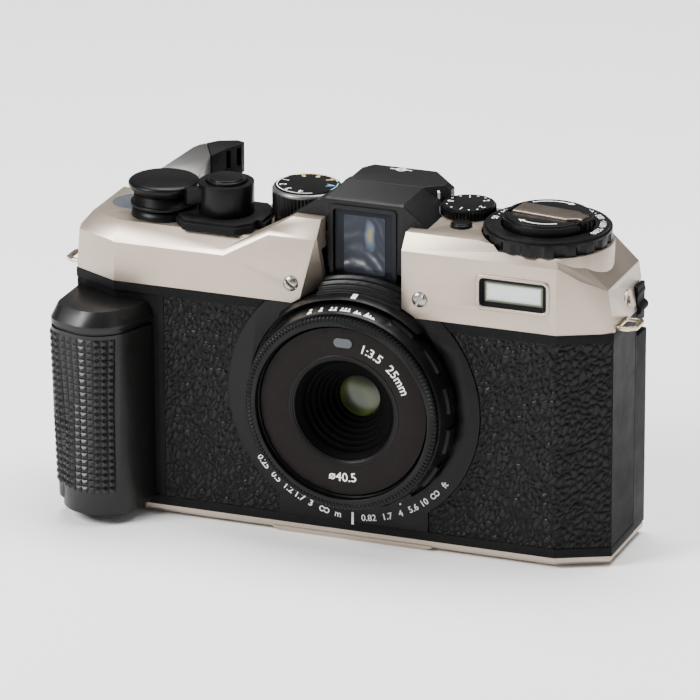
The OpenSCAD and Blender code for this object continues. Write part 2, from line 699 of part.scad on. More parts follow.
module shutter_base() color("#1d1d1f") difference() {
    union() {
        on(shutter_axis, deck_left + 0.05) linear_extrude(1.5) polygon(base_plan(0));
        on(shutter_axis, deck_left + 1.5) linear_extrude(0.7) polygon(base_plan(0.7));
    }
    on(shutter_axis, 60) cylinder(r = 3.2, h = 20);
    on(lever_axis, 60) cylinder(r = 6.7, h = 20);
    on(mode_axis, 60) cylinder(r = mode_r + 0.4, h = 20);
    block(-25.9, 0, 0, 8, 60, 80);
}
function base_plan(i) = [[-11.2 + i, -3.9], [-6.8, -9.5 + i], [5.6, -9.5 + i], [10.6 - i, -4.2],
                         [10.6 - i, 4], [6.6, 9 - i], [-5, 9 - i], [-11.2 + i, 4.5]];

module power_lever() color("#1f1f21") on(shutter_axis, deck_left + 2.3) difference() {
    union() {
        cylinder(r = 6.2, h = 7);
        rotate(216) translate([0, -1.2, 2.7]) cube([9.3, 2.4, 3.2]);
    }
    translate([0, 0, -1]) cylinder(r = 4.7, h = 10);
}

module shutter_button() color("#19191b") on(shutter_axis, 62) {
    cylinder(r = 3.15, h = 10.1);
    translate([0, 0, 10]) cylinder(r = 4.4, h = 5.9);
    translate([0, 0, 15.8]) cylinder(r = 3.9, h = 0.5);
}

module mode_dial() color("#1d1d1f") on(mode_axis, deck_left + 0.1) {
    cylinder(r = mode_r - 0.5, h = 2.2);
    translate([0, 0, 2.1]) knurl(mode_r, 60, 0.25, 5.4);
    translate([0, 0, 7.4]) cylinder(r = mode_r - 0.4, h = 0.6);
    translate([0, 0, 7.9]) cylinder(r = mode_r - 0.8, h = 0.9);
    translate([0, 0, -5]) cylinder(r = 2.05, h = 5.1);
}

module exposure_dial() color("#1d1d1f") on(exposure_axis, deck_right + 0.1) {
    knurl(6.2, 48, 0.3, 1.9);
    translate([0, 0, 1.8]) cylinder(r = 5.8, h = 0.5);
    translate([0, 0, -5]) cylinder(r = 1.55, h = 5.1);
}

module iso_lock_button() color("#1d1d1f") on(lock_axis, 68) {
    cylinder(r = 2.4, h = 6.2);
    translate([0, 0, 6.1]) cylinder(r = 2.1, h = 0.4);
}

module iso_dial() color("#1d1d1f") on(rewind_axis, iso_seat + 0.15) difference() {
    union() {
        cylinder(r = iso_r, h = 2.8);
        translate([0, 0, 2.7]) cylinder(r = iso_r - 0.5, h = 0.6);
    }
    for (i = [0:17]) rotate(i * 20) translate([iso_r + 1.5, 0, -1]) cylinder(r = 2.1, h = 3.3);
    translate([0, 0, -1]) cylinder(r = 4.45, h = 10);
    translate([0, 0, 1.4]) cylinder(r = 10.4, h = 3);
}

// ---------------------------------------------------------------- rewind

module rewind_sleeve() color("#8c8c8c") on(rewind_axis, 54.5) {
    tube(4.1, 2.85, knob_z - 54.7);
}

module rewind_knob() color("#1d1d1f") on(rewind_axis, 0) {
    difference() {
        translate([0, 0, knob_z]) union() {
            cylinder(r = 9.85, h = 3.4);
            translate([0, 0, 3.3]) cylinder(r = 9.35, h = 0.6);
        }
        // Channel for the crank, pocket for its knob, and room for its tail as it lifts.
        rotate(crank_turn) {
            translate([-8.3, -3.2, crank_z - 0.1]) cube([20, 6.4, 4]);
            translate([4.7, -2.9, knob_z - 1]) cube([8, 5.8, 9]);
            translate([-8.4, -3.2, crank_z - 0.75]) cube([2.9, 6.4, 4]);
        }
    }
    translate([0, 0, 49]) cylinder(r = 2.8, h = knob_z - 48.9);
    translate([-2.6, -0.5, 46.6]) cube([5.2, 1, 2.5]);
}

module rewind_crank() color("#8b857c") on(rewind_axis, crank_z) rotate(crank_turn) {
    linear_extrude(crank_t) polygon([
        [crank_tail, -3.0], [6.2, -3.0], [8.0, -1.7], [9.2, -1.7],
        [9.2, 1.7], [8.0, 1.7], [6.2, 3.0], [crank_tail, 3.0]]);
    // Round pivot end that the crank folds on.
    translate([crank_tail, 3.0, crank_t / 2]) rotate([90, 0, 0]) cylinder(r = crank_t / 2, h = 6);
}

module crank_knob() color("#1d1d1f") on(rewind_axis, knob_z + 0.2) rotate(crank_turn)
    translate([crank_reach, 0, 0]) {
        knurl(2.4, 14, 0.25, 2.5);
        cylinder(r = 2.05, h = crank_z - knob_z - 0.25);
    }

// ---------------------------------------------------------------- underside release and door

module rewind_release() color("#b9b9b9") on(release_axis, 0.9) {
    cylinder(r = 2.25, h = 5.3);
}

module back_door() color("#232326") {
    difference() {
        union() {
            difference() {
                block(-65.2, right_x, seam_d + 0.1, body_d, plate_top + 0.1, cover_low - 0.1);
                block(-70, right_x - 1.45, 0, door_in, plate_top + 1.4, cover_low - 1.4);
                block(-70, right_x - 1.45, 0, chassis_back + 0.05, 0, 60);
            }
            // Bosses that guide the pressure plate's posts.
            for (z = [-9, 9]) at(0, door_in + 0.1, lens_z + z) rotate([90, 0, 0]) cylinder(r = 1.9, h = 0.8);
            // Hinge leaf and knuckles.
            for (z = knuckle_z) {
                on(hinge_axis, z[0]) cylinder(r = knuckle_r, h = z[1] - z[0]);
                block(hinge_axis[0], -64, hinge_axis[1] + 0.4, hinge_axis[1] + knuckle_r, z[0], z[1]);
            }
        }
        on(hinge_axis, 0) cylinder(r = pin_r + fit_gap, h = 60);
        for (z = [-9, 9]) at(0, 28.1, lens_z + z) rotate([90, 0, 0]) cylinder(r = 0.95, h = 3);
        block(-62.5, 55.5, body_d - 0.4, body_d + 1, leather_low + 1, leather_high - 1);
        block(57.45, 62, 21.7, 30, 48.6, 60);
    }
}

module door_leather() color("#1c1c1d") block(-62.4, 55.4, body_d - 0.39, body_d, leather_low + 1.1, leather_high - 1.1);

module hinge_pin() color("#8c8c8c") {
    on(hinge_axis, 4) cylinder(r = pin_r, h = 49.5);
    difference() {
        union() {
            on(hinge_axis, 20) cylinder(r = knuckle_r, h = 17.2);
            block(hinge_axis[0], -64.6, 24.9, 26, 20, 37.2);
            block(-65.6, -64.6, chassis_back, 26, 20, 37.2);
        }
        on(hinge_axis, 10) cylinder(r = pin_r, h = 40);
    }
}

module pressure_plate() color("#3b3b3d") {
    block(-17, 17, 24.5, 25.5, lens_z - 17, lens_z + 17);
    for (z = [-9, 9]) at(0, 27.2, lens_z + z) rotate([90, 0, 0]) cylinder(r = 0.9, h = 1.8);
}

module door_latch() color("#1d1d1f") {
    block(57.55, 58.5, 22, 27.1, 51.4, 60.0);
    intersection() {
        union() {
            at(57.6, 27.1, 58.2) rotate([90, 0, 0]) cylinder(r = 1.1, h = 5.1);
            at(58.2, 27.1, 54.7) rotate([90, 0, 0]) cylinder(r = 1.2, h = 5.1);
        }
        block(57.55, 62, 20, 30, 50, 62);
    }
}

bottom_plate();
tripod_socket();
bottom_screws();
film_chassis();
front_shell();
front_leather();
grip_shell();
battery_cover();
battery_contacts();
top_cover();
cover_screws();
strap_lugs();
flash_bezel();
flash_window();
flash_reflector();
flash_tube();
flash_capacitor();
circuit_board();
lens_base();
focus_ring();
lens_barrel();
name_ring();
lens_baffle();
front_element();
rear_elements();
light_sensor();
shutter_case();
shutter_blade_a();
shutter_blade_b();
viewfinder_hood();
viewfinder_window();
eyepiece_frame();
eyepiece_lens();
indicator_lamps();
wind_lever();
lever_tip();
lever_cap();
wind_shaft();
idler_gear();
film_sprocket();
take_up_spool();
counter_window();
frame_counter();
shutter_base();
power_lever();
shutter_button();
mode_dial();
exposure_dial();
iso_dial();
iso_lock_button();
rewind_sleeve();
rewind_knob();
rewind_crank();
crank_knob();
rewind_release();
back_door();
door_leather();
hinge_pin();
pressure_plate();
door_latch();
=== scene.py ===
"""Looks of a half frame compact film camera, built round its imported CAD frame.

Lengths are millimetres in the frame's own axes: x to the right as seen from the front, d the depth
behind the front face, z up. MM turns them into metres.
"""
import json
import math

import bpy
from mathutils import Matrix, Vector, noise
from mathutils.bvhtree import BVHTree


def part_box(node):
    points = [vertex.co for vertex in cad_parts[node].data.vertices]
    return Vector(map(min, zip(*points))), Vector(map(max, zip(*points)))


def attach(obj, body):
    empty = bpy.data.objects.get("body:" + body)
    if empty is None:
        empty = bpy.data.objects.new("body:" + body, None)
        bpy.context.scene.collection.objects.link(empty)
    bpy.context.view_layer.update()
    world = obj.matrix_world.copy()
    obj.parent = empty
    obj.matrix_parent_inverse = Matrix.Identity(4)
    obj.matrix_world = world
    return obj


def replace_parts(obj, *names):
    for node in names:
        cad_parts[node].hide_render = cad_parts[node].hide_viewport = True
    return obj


MM = 0.001
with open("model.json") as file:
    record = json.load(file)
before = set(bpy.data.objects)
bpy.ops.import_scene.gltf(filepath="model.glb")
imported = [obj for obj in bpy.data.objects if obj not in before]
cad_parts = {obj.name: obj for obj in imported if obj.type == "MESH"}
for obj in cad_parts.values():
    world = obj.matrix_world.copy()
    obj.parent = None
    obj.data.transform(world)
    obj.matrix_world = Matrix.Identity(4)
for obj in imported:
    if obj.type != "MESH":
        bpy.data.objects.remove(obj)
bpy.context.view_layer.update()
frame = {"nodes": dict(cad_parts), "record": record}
scene = bpy.context.scene

# ---------------------------------------------------------------- places, read from the frame


def box(node):
    """Lowest and highest corner of a CAD node in millimetres."""
    low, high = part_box(node)
    return low / MM, high / MM


def centre(node):
    low, high = box(node)
    return (low + high) / 2


FRONT = box("top_cover")[0].y
LENS_Z = centre("lens_barrel").z
LENS_OUT = FRONT - box("lens_barrel")[0].y


def spot(x, d, z):
    """Row frame point, in millimetres, at depth d behind the front face."""
    return Vector((x, FRONT + d, z))


def on_lens(radius, angle, ahead):
    """Point round the lens axis; the angle runs anticlockwise from +x as seen from the front, in degrees."""
    a = math.radians(angle)
    return Vector((radius * math.cos(a), FRONT - ahead, LENS_Z + radius * math.sin(a)))


# ---------------------------------------------------------------- materials


class Paint:
    """A node material round one Principled shader; coordinates are the object's own, in metres."""

    def __init__(self, name, color, roughness, metallic=0.0, **sockets):
        self.material = bpy.data.materials.new(name)
        self.material.use_nodes = True
        self.nodes = self.material.node_tree.nodes
        self.links = self.material.node_tree.links
        self.shader = self.nodes["Principled BSDF"]
        self.coords = self.nodes.new("ShaderNodeTexCoord").outputs["Object"]
        self.normal = None
        self.color = color
        self.set("Base Color", (*color, 1))
        self.set("Roughness", roughness)
        self.set("Metallic", metallic)
        for key, value in sockets.items():
            self.set(key.replace("_", " ").title().replace("Ior", "IOR"), value)

    def set(self, socket, value):
        self.shader.inputs[socket].default_value = value

    def noise(self, size, detail=2.0, rough=0.5):
        """Noise whose features are about size millimetres across."""
        node = self.nodes.new("ShaderNodeTexNoise")
        node.inputs["Scale"].default_value = 1 / (size * MM)
        node.inputs["Detail"].default_value = detail
        node.inputs["Roughness"].default_value = rough
        self.links.new(self.coords, node.inputs["Vector"])
        return node.outputs["Fac"]

    def soft_cells(self, size):
        """Distance from the middles of soft edged cells about size millimetres across."""
        node = self.nodes.new("ShaderNodeTexVoronoi")
        node.feature = "SMOOTH_F1"
        node.inputs["Scale"].default_value = 1 / (size * MM)
        node.inputs["Smoothness"].default_value = 0.6
        self.links.new(self.coords, node.inputs["Vector"])
        return node.outputs["Distance"]

    def split(self, coords=None):
        """The x, y and z of a place, by default of the object's own coordinates."""
        node = self.nodes.new("ShaderNodeSeparateXYZ")
        self.links.new(coords or self.coords, node.inputs[0])
        return node.outputs

    def hypot(self, a, b):
        return self.math("SQRT", self.math("ADD", self.math("MULTIPLY", a, a), self.math("MULTIPLY", b, b)))

    def math(self, operation, a, b=0.0):
        node = self.nodes.new("ShaderNodeMath")
        node.operation = operation
        for socket, value in zip(node.inputs, (a, b)):
            if isinstance(value, (int, float)):
                socket.default_value = value
            else:
                self.links.new(value, socket)
        return node.outputs[0]

    def warped(self, size, amount):
        """The object's coordinates pushed about by noise, amount in millimetres."""
        node = self.nodes.new("ShaderNodeTexNoise")
        node.inputs["Scale"].default_value = 1 / (size * MM)
        self.links.new(self.coords, node.inputs["Vector"])
        shift = self.nodes.new("ShaderNodeVectorMath")
        shift.operation = "MULTIPLY_ADD"
        self.links.new(node.outputs["Color"], shift.inputs[0])
        shift.inputs[1].default_value = (amount * MM,) * 3
        self.links.new(self.coords, shift.inputs[2])
        return shift.outputs[0]

    def ramp(self, value, stops):
        """Colours at places along a value; a single number stands for a grey."""
        node = self.nodes.new("ShaderNodeValToRGB")
        self.links.new(value, node.inputs[0])
        elements = node.color_ramp.elements
        while len(elements) < len(stops):
            elements.new(0.5)
        for element, (place, color) in zip(elements, stops):
            element.position = place
            element.color = (*((color,) * 3 if isinstance(color, float) else color), 1)
        return node.outputs[0]

    def vary_color(self, value, dark, light, low=0.3, high=0.7):
        """Base colour between dark and light multiples of the paint's colour."""
        stops = [(low, [c * dark for c in self.color]), (high, [min(1, c * light) for c in self.color])]
        self.links.new(self.ramp(value, stops), self.shader.inputs["Base Color"])

    def vary_roughness(self, value, low, high):
        self.links.new(self.ramp(value, [(0.3, low), (0.7, high)]), self.shader.inputs["Roughness"])

    def bump(self, height, distance, strength=1.0):
        """Adds relief, distance in millimetres."""
        node = self.nodes.new("ShaderNodeBump")
        node.inputs["Distance"].default_value = distance * MM
        node.inputs["Strength"].default_value = strength
        self.links.new(height, node.inputs["Height"])
        if self.normal:
            self.links.new(self.normal, node.inputs["Normal"])
        self.normal = node.outputs[0]
        self.links.new(self.normal, self.shader.inputs["Normal"])


def champagne():
    """Warm painted metal with a fine bead blasted grain."""
    p = Paint("champagne", (0.44, 0.365, 0.297), 0.32, 0.82, coat_weight=0.15, coat_roughness=0.3)
    p.vary_color(p.noise(0.12, 1), 0.93, 1.06)
    p.vary_roughness(p.noise(9, 3), 0.33, 0.4)
    p.bump(p.noise(0.16, 1), 0.006, 0.5)
    return p.material


def moulded(name, grey, roughness, grain, depth, metallic=0.0, **sockets):
    """Black plastic or lacquer with a fine even grain."""
    p = Paint(name, grey, roughness, metallic, **sockets)
    p.vary_color(p.noise(grain * 3, 2), 0.75, 1.3)
    p.vary_roughness(p.noise(4, 3), roughness - 0.04, roughness + 0.05)
    p.bump(p.noise(grain, 1), depth, 0.6)
    return p.material


def leatherette():
    """Black sheet with painted shade in the creases between the pebbles of its grain and painted highlights on the
    pebbles.
    """
    p = Paint("leatherette", (0.0035, 0.0034, 0.0033), 0.32, 0.0, specular_ior_level=0.12)
    fine = p.noise(0.3, 3)
    grain = p.nodes.new("ShaderNodeAttribute")
    grain.attribute_name = "grain"
    # Painted shade and highlight: the colour goes darker down in the creases and lighter up on the pebbles, following
    # the stored grain height.
    painted_shade_and_highlight = p.math("MULTIPLY", grain.outputs["Fac"], p.math("ADD", fine, 0.5))
    stops = [(0.3, 0.0012), (0.75, (0.005, 0.0048, 0.0047)), (1.0, (0.012, 0.0116, 0.0113))]
    p.links.new(p.ramp(painted_shade_and_highlight, stops), p.shader.inputs["Base Color"])
    p.vary_roughness(p.noise(1.2, 2), 0.28, 0.4)
    p.bump(p.soft_cells(0.45), -0.05, 0.6)
    p.bump(fine, 0.035, 0.6)
    return p.material


def crinkle():
    """Black lacquer baked to a gritty texture, with painted glints: the colour is lighter on the raised peaks of its
    grain.
    """
    p = Paint("black_crinkle", (0.0035, 0.0035, 0.004), 0.42, 0.0, specular_ior_level=0.24)
    grit_and_glints = p.noise(0.3, 3, 0.65)
    # Painted glints: the same noise that raises the texture makes its peaks up to 2.6 times lighter.
    p.vary_color(grit_and_glints, 0.6, 2.6, 0.44, 0.7)
    p.bump(grit_and_glints, 0.09, 0.8)
    return p.material


def brushed(name, color, roughness, metallic=1.0):
    """Machined or polished metal with faint tool marks."""
    p = Paint(name, color, roughness, metallic)
    p.vary_color(p.noise(1.5, 3), 0.92, 1.05)
    p.vary_roughness(p.noise(0.5, 2), roughness * 0.8, roughness * 1.25)
    p.bump(p.noise(0.25, 2), 0.004, 0.5)
    return p.material


def glassy(name, color, roughness, **sockets):
    """Glass or clear plastic, a little uneven in tint."""
    p = Paint(name, color, roughness, 0.0, **sockets)
    p.vary_color(p.noise(3, 2), 0.92, 1.06)
    return p.material


def marking(name, color):
    """Paint filled into a dial or ring."""
    p = Paint(name, color, 0.5)
    p.vary_color(p.noise(0.2, 2), 0.9, 1.0)
    p.bump(p.noise(0.1, 1), 0.006, 0.4)
    return p.material


def coated_lens():
    """Front glass: dark in the middle, with a painted reflection of its coating as a dull olive ring towards the rim.
    """
    p = Paint("lens_glass", (0.01, 0.012, 0.004), 0.3, 0.0, coat_weight=0.35, coat_roughness=0.2,
              coat_tint=(0.75, 0.9, 0.5, 1), specular_ior_level=0.5)
    # Painted reflection of the coating: a dull olive ring round a middle set a little left of and below the lens
    # axis, wobbled by noise; dark inside and outside it.
    at = p.split(p.warped(4, 0.8))
    x = p.math("ADD", at["X"], 0.7 * MM)
    z = p.math("SUBTRACT", at["Z"], (LENS_Z - 0.8) * MM)
    share = p.math("DIVIDE", p.hypot(x, z), 6.0 * MM)
    stops = [(0.0, (0.004, 0.005, 0.002)), (0.35, (0.01, 0.013, 0.003)), (0.62, (0.04, 0.055, 0.01)),
             (0.82, (0.026, 0.032, 0.008)), (1.0, (0.008, 0.009, 0.004))]
    p.links.new(p.ramp(share, stops), p.shader.inputs["Base Color"])
    return p.material


def finder_glass():
    """Viewfinder optics: blue grey glass with painted reflections, uneven bright streaks low down and a yellowish
    painted glint high on the right.
    """
    p = Paint("finder_glass", (0.03, 0.034, 0.045), 0.15, 0.0, specular_ior_level=0.08)
    low, high = box("viewfinder_window")
    at = p.split(p.warped(6, 3.5))
    across = p.math("MULTIPLY", at["X"], 1 / ((high.x - low.x) * MM))
    level = p.math("MULTIPLY", p.math("SUBTRACT", at["Z"], low.z * MM), 1 / ((high.z - low.z) * MM))
    arcs = p.math("ADD", p.math("MULTIPLY", across, across), p.math("MULTIPLY", level, 0.55))
    # Painted reflections: bright curved bands, strongest a little above the bottom, broken up by noise.
    streaks = p.math("ABSOLUTE", p.math("SINE", p.math("MULTIPLY", arcs, 26.0)))
    patchy = p.ramp(p.noise(4.5, 2), [(0.4, 0.1), (0.62, 1.0)])
    mask = p.ramp(level, [(0.16, 0.0), (0.3, 1.0), (0.5, 0.25), (1.0, 0.12)])
    light = p.math("MULTIPLY", p.math("MULTIPLY", p.math("POWER", streaks, 4.0), mask), patchy)
    glass = p.ramp(light, [(0.0, p.color), (0.5, (0.12, 0.13, 0.14)), (0.9, (0.4, 0.4, 0.38))])
    # Painted glint: a small yellowish patch high on the right.
    off_x = p.math("SUBTRACT", across, 0.22)
    off_z = p.math("MULTIPLY", p.math("SUBTRACT", level, 0.74), 0.42)
    far = p.math("ADD", p.math("MULTIPLY", off_x, off_x), p.math("MULTIPLY", off_z, off_z))
    warm_painted_glint = p.ramp(far, [(0.0, (0.2, 0.17, 0.06)), (0.004, (0.06, 0.08, 0.12)), (0.012, 0.0)])
    mix = p.nodes.new("ShaderNodeMixRGB")
    mix.blend_type = "ADD"
    mix.inputs[0].default_value = 1.0
    p.links.new(glass, mix.inputs[1])
    p.links.new(warm_painted_glint, mix.inputs[2])
    p.links.new(mix.outputs[0], p.shader.inputs["Base Color"])
    return p.material


def flash_lens():
    """Clear ribbed flash window over its reflector: pale silver green, olive at the rim."""
    p = Paint("flash_lens", (0.6, 0.66, 0.62), 0.2, 0.2, coat_weight=0.8, coat_roughness=0.05)
    low, high = box("flash_window")
    mid, half, at = (low + high) / 2, (high - low) / 2, p.split()
    edges = []
    for axis in ("x", "z"):
        off = p.math("SUBTRACT", at[axis.upper()], getattr(mid, axis) * MM)
        edges.append(p.math("SUBTRACT", getattr(half, axis) * MM, p.math("ABSOLUTE", off)))
    inset = p.math("MULTIPLY", p.math("MINIMUM", *edges), 1 / MM)
    stops = [(0.1, (0.05, 0.054, 0.03)), (0.4, (0.14, 0.155, 0.1)), (0.62, (0.5, 0.55, 0.51)),
             (1.0, (0.66, 0.72, 0.68))]
    p.links.new(p.ramp(inset, stops), p.shader.inputs["Base Color"])
    return p.material


def lever_paint():
    """Satin grey arm with a black hub round the lever's axis."""
    hub_edge, arm_start = 0.24, 0.262  # shares of the arm's reach
    p = Paint("gunmetal", (0.19, 0.185, 0.18), 0.32, 0.8)
    hub = frame["nodes"]["wind_lever"].matrix_world.inverted() @ (centre("lever_cap") * MM)
    at = p.split()
    radius = p.hypot(p.math("SUBTRACT", at["X"], hub.x), p.math("SUBTRACT", at["Y"], hub.y))
    radius = p.math("DIVIDE", radius, 30 * MM)
    grain = p.math("ADD", radius, p.math("MULTIPLY", p.noise(0.2, 1), 0.01))
    stops = [(hub_edge, (0.006, 0.006, 0.0065)), (arm_start, (0.2, 0.195, 0.19)), (0.8, (0.1, 0.097, 0.095))]
    p.links.new(p.ramp(grain, stops), p.shader.inputs["Base Color"])
    p.links.new(p.ramp(radius, [(hub_edge, 0.0), (arm_start, 0.8)]), p.shader.inputs["Metallic"])
    p.bump(p.noise(0.12, 1), 0.004, 0.5)
    return p.material


MATERIALS = {
    "champagne": champagne(),
    "black_trim": moulded("black_trim", (0.0035, 0.0035, 0.0038), 0.62, 0.3, 0.035,
                          specular_ior_level=0.12),
    "black_crinkle": crinkle(),
    "black_satin": moulded("black_satin", (0.0032, 0.0032, 0.0035), 0.32, 0.14, 0.004,
                           specular_ior_level=0.15),
    "leatherette": leatherette(),
    "grip_black": moulded("grip_black", (0.0045, 0.0043, 0.0041), 0.34, 0.2, 0.02,
                          specular_ior_level=0.3),
    "gunmetal": moulded("gunmetal", (0.17, 0.165, 0.16), 0.34, 0.12, 0.005, 0.8),
    "name_brown": moulded("name_brown", (0.0055, 0.0038, 0.0032), 0.36, 0.12, 0.004,
                          specular_ior_level=0.1),
    "bright_metal": brushed("bright_metal", (0.72, 0.68, 0.61), 0.24),
    "steel": brushed("steel", (0.5, 0.5, 0.51), 0.28),
    "brass": brushed("brass", (0.66, 0.5, 0.26), 0.3),
    "clear_glass": glassy("clear_glass", (0.35, 0.4, 0.42), 0.06, transmission_weight=0.6, ior=1.5,
                          coat_weight=0.5),
    "lens_glass": coated_lens(),
    "smoked_window": glassy("smoked_window", (0.06, 0.068, 0.078), 0.3, specular_ior_level=0.3),
    "board_green": moulded("board_green", (0.03, 0.12, 0.06), 0.35, 0.3, 0.01),
    "capacitor_sleeve": moulded("capacitor_sleeve", (0.05, 0.06, 0.09), 0.3, 0.4, 0.01),
    "flash_silver": brushed("flash_silver", (0.85, 0.86, 0.85), 0.14),
    "lamp": glassy("lamp", (0.2, 0.42, 0.2), 0.25, coat_weight=0.8),
    "film_black": moulded("film_black", (0.03, 0.03, 0.032), 0.36, 0.2, 0.008, 0.2),
    "lever_paint": lever_paint(),
    "crank_brown": moulded("crank_brown", (0.17, 0.135, 0.11), 0.3, 0.12, 0.004, 0.85),
    "baffle_black": moulded("baffle_black", (0.0015, 0.0015, 0.0015), 0.6, 0.2, 0.01,
                            specular_ior_level=0.04),
    "dark_glass": glassy("dark_glass", (0.011, 0.0125, 0.017), 0.2, specular_ior_level=0.08),
    "screw_metal": brushed("screw_metal", (0.36, 0.34, 0.31), 0.3),
    "strap_gold": brushed("strap_gold", (0.6, 0.51, 0.37), 0.27),
    "finder_glass": finder_glass(),
    "flash_lens": flash_lens(),
    "white_paint": marking("white_paint", (0.82, 0.82, 0.8)),
    "yellow_paint": marking("yellow_paint", (0.72, 0.62, 0.3)),
    "blue_paint": marking("blue_paint", (0.2, 0.42, 0.62)),
}

# Nodes that look different from the material their slot names.
OWN_LOOK = {"hinge_pin": "film_black", "wind_lever": "lever_paint", "rewind_crank": "crank_brown",
            "lens_baffle": "baffle_black", "strap_lugs": "strap_gold"}
for row in frame["record"]["subparts"]:
    slots = frame["nodes"][row["node"]].data.materials
    slots.clear()
    slots.append(MATERIALS[OWN_LOOK.get(row["node"], row["material_slot"])])

# ---------------------------------------------------------------- mesh helpers


def piece(name, points, faces, paint, body, smooth=True, slot=None):
    """A mesh from millimetre points that rides on a body."""
    mesh = bpy.data.meshes.new(name)
    mesh.from_pydata([Vector(p) * MM for p in points], [], faces)
    mesh.update()
    obj = bpy.data.objects.new(name, mesh)
    scene.collection.objects.link(obj)
    mesh.materials.append(MATERIALS[paint])
    mesh.polygons.foreach_set("use_smooth", [smooth] * len(mesh.polygons))
    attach(obj, body)
    return obj


def quads(rows, columns, ring=False, closed=False, flip=False):
    """Faces between neighbouring rows of points.

    A ring joins its last row to its first, closed rows join their ends, and flip turns the faces over.
    """
    faces = []
    for i in range(rows if ring else rows - 1):
        for j in range(columns if closed else columns - 1):
            here, there, k = i * columns, (i + 1) % rows * columns, (j + 1) % columns
            sides = (here + k, there + k, there + j)
            faces.append([here + j, *(sides[::-1] if flip else sides)])
    return faces


class Shape:
    """Points and faces gathered from several parts of one piece."""

    def __init__(self):
        self.points, self.faces = [], []

    def add(self, points, faces):
        start = len(self.points)
        self.points += [Vector(p) for p in points]
        self.faces += [[start + i for i in f] for f in faces]
        return self

    def prism(self, outline, place, height):
        """Raises a flat outline by height; place(u, v, h) puts a point in the frame."""
        n = len(outline)
        points = [place(u, v, 0) for u, v in outline] + [place(u, v, height) for u, v in outline]
        sides = [[i, (i + 1) % n, n + (i + 1) % n, n + i] for i in range(n)]
        return self.add(points, [list(range(n))[::-1], list(range(n, 2 * n)), *sides])

    def turned(self, profile, place, steps=96, closed=True, flip=False):
        """Sweeps (radius, height) points round an axis; a function gives the profile at each step."""
        points = []
        for i in range(steps):
            a = 2 * math.pi * i / steps
            row = profile(i) if callable(profile) else profile
            points += [place(r * math.cos(a), r * math.sin(a), h) for r, h in row]
        return self.add(points, quads(steps, len(row), True, closed, flip))

    def make(self, name, paint, body, **options):
        return piece(name, self.points, self.faces, paint, body, **options)


def upright(node):
    """Placing function round a node's own upright axis: u to the right, v to the back, h the height."""
    mid = centre(node)
    return lambda u, v, h: Vector((mid.x + u, mid.y + v, h))


def facing(x, z):
    """Placing function for things on the front face: u to the right, v up, h out of the face."""
    return lambda u, v, h: Vector((x + u, FRONT - h, z + v))


def glyphs(text, size):
    """Flat generic figures, centred, as ([(u, v)], faces), size in millimetres."""
    curve = bpy.data.curves.new("lettering", "FONT")
    curve.body, curve.size = text, size
    curve.align_x = curve.align_y = "CENTER"
    curve.resolution_u = 3
    curve.offset = 0.012 * size
    obj = bpy.data.objects.new("lettering", curve)
    scene.collection.objects.link(obj)
    mesh = bpy.data.meshes.new_from_object(obj.evaluated_get(bpy.context.evaluated_depsgraph_get()))
    flat = [(v.co.x, v.co.y) for v in mesh.vertices]
    faces = [list(f.vertices) for f in mesh.polygons]
    bpy.data.objects.remove(obj)
    bpy.data.meshes.remove(mesh)
    return flat, faces


def letter(shape, text, size, place):
    """Adds figures to a shape through place(u, v)."""
    flat, faces = glyphs(text, size)
    shape.add([place(u, v) for u, v in flat], faces)


def round_lens(radius, angle, ahead, inward=False):
    """Places figures round the lens axis: their tops point outward, or inward for the lower half."""
    def place(u, v):
        if inward:
            return on_lens(radius - v, angle + math.degrees(u / radius), ahead)
        return on_lens(radius + v, angle - math.degrees(u / radius), ahead)
    return place


def round_dial(node, level, radius, angle, inward=False):
    """Places figures on top of a dial, their tops towards the rim, or towards the middle."""
    mid = centre(node)

    def place(u, v):
        r = radius - v if inward else radius + v
        a = math.radians(angle + math.degrees(u / radius) * (1 if inward else -1))
        return Vector((mid.x + r * math.cos(a), mid.y + r * math.sin(a), level))
    return place


def disc(radius, n=16):
    """Outline of a circle."""
    return [(radius * math.cos(2 * math.pi * i / n), radius * math.sin(2 * math.pi * i / n)) for i in range(n)]


def bar(w, h):
    """Outline of a rectangle round the origin."""
    return [(-w / 2, -h / 2), (w / 2, -h / 2), (w / 2, h / 2), (-w / 2, h / 2)]


def soften(node, width, segments=3, angle=25):
    """Rounds a CAD node's edges, width in millimetres."""
    obj = frame["nodes"][node]
    obj.data.polygons.foreach_set("use_smooth", [True] * len(obj.data.polygons))
    weld = obj.modifiers.new("weld", "WELD")
    weld.merge_threshold = 0.004 * MM
    flat = obj.modifiers.new("flat", "DECIMATE")
    flat.decimate_type = "DISSOLVE"
    flat.angle_limit = math.radians(0.6)
    bevel = obj.modifiers.new("bevel", "BEVEL")
    bevel.width = width * MM
    bevel.segments = segments
    bevel.limit_method = "ANGLE"
    bevel.angle_limit = math.radians(angle)
    bevel.miter_outer = "MITER_ARC"
    bevel.harden_normals = True


SOFT_EDGES = {
    "top_cover": 0.35, "bottom_plate": 0.35, "grip_shell": 0.7, "front_shell": 0.12, "viewfinder_hood": 0.45,
    "eyepiece_frame": 0.6, "back_door": 0.4, "lever_cap": 0.2, "wind_lever": 0.45, "lever_tip": 0.9,
    "power_lever": 0.35, "shutter_button": 0.3, "shutter_base": 0.3, "mode_dial": 0.08, "exposure_dial": 0.08,
    "iso_dial": 0.2, "rewind_knob": 0.6, "rewind_crank": 0.25, "iso_lock_button": 0.2, "door_latch": 0.25,
    "strap_lugs": 0.2, "lens_base": 0.12, "focus_ring": 0.1, "lens_barrel": 0.12, "name_ring": 0.06,
    "lens_baffle": 0.04, "counter_window": 0.1, "battery_cover": 0.2, "tripod_socket": 0.2,
    "rewind_release": 0.3, "hinge_pin": 0.15, "bottom_screws": 0.08,
}
for node, width in SOFT_EDGES.items():
    soften(node, width)

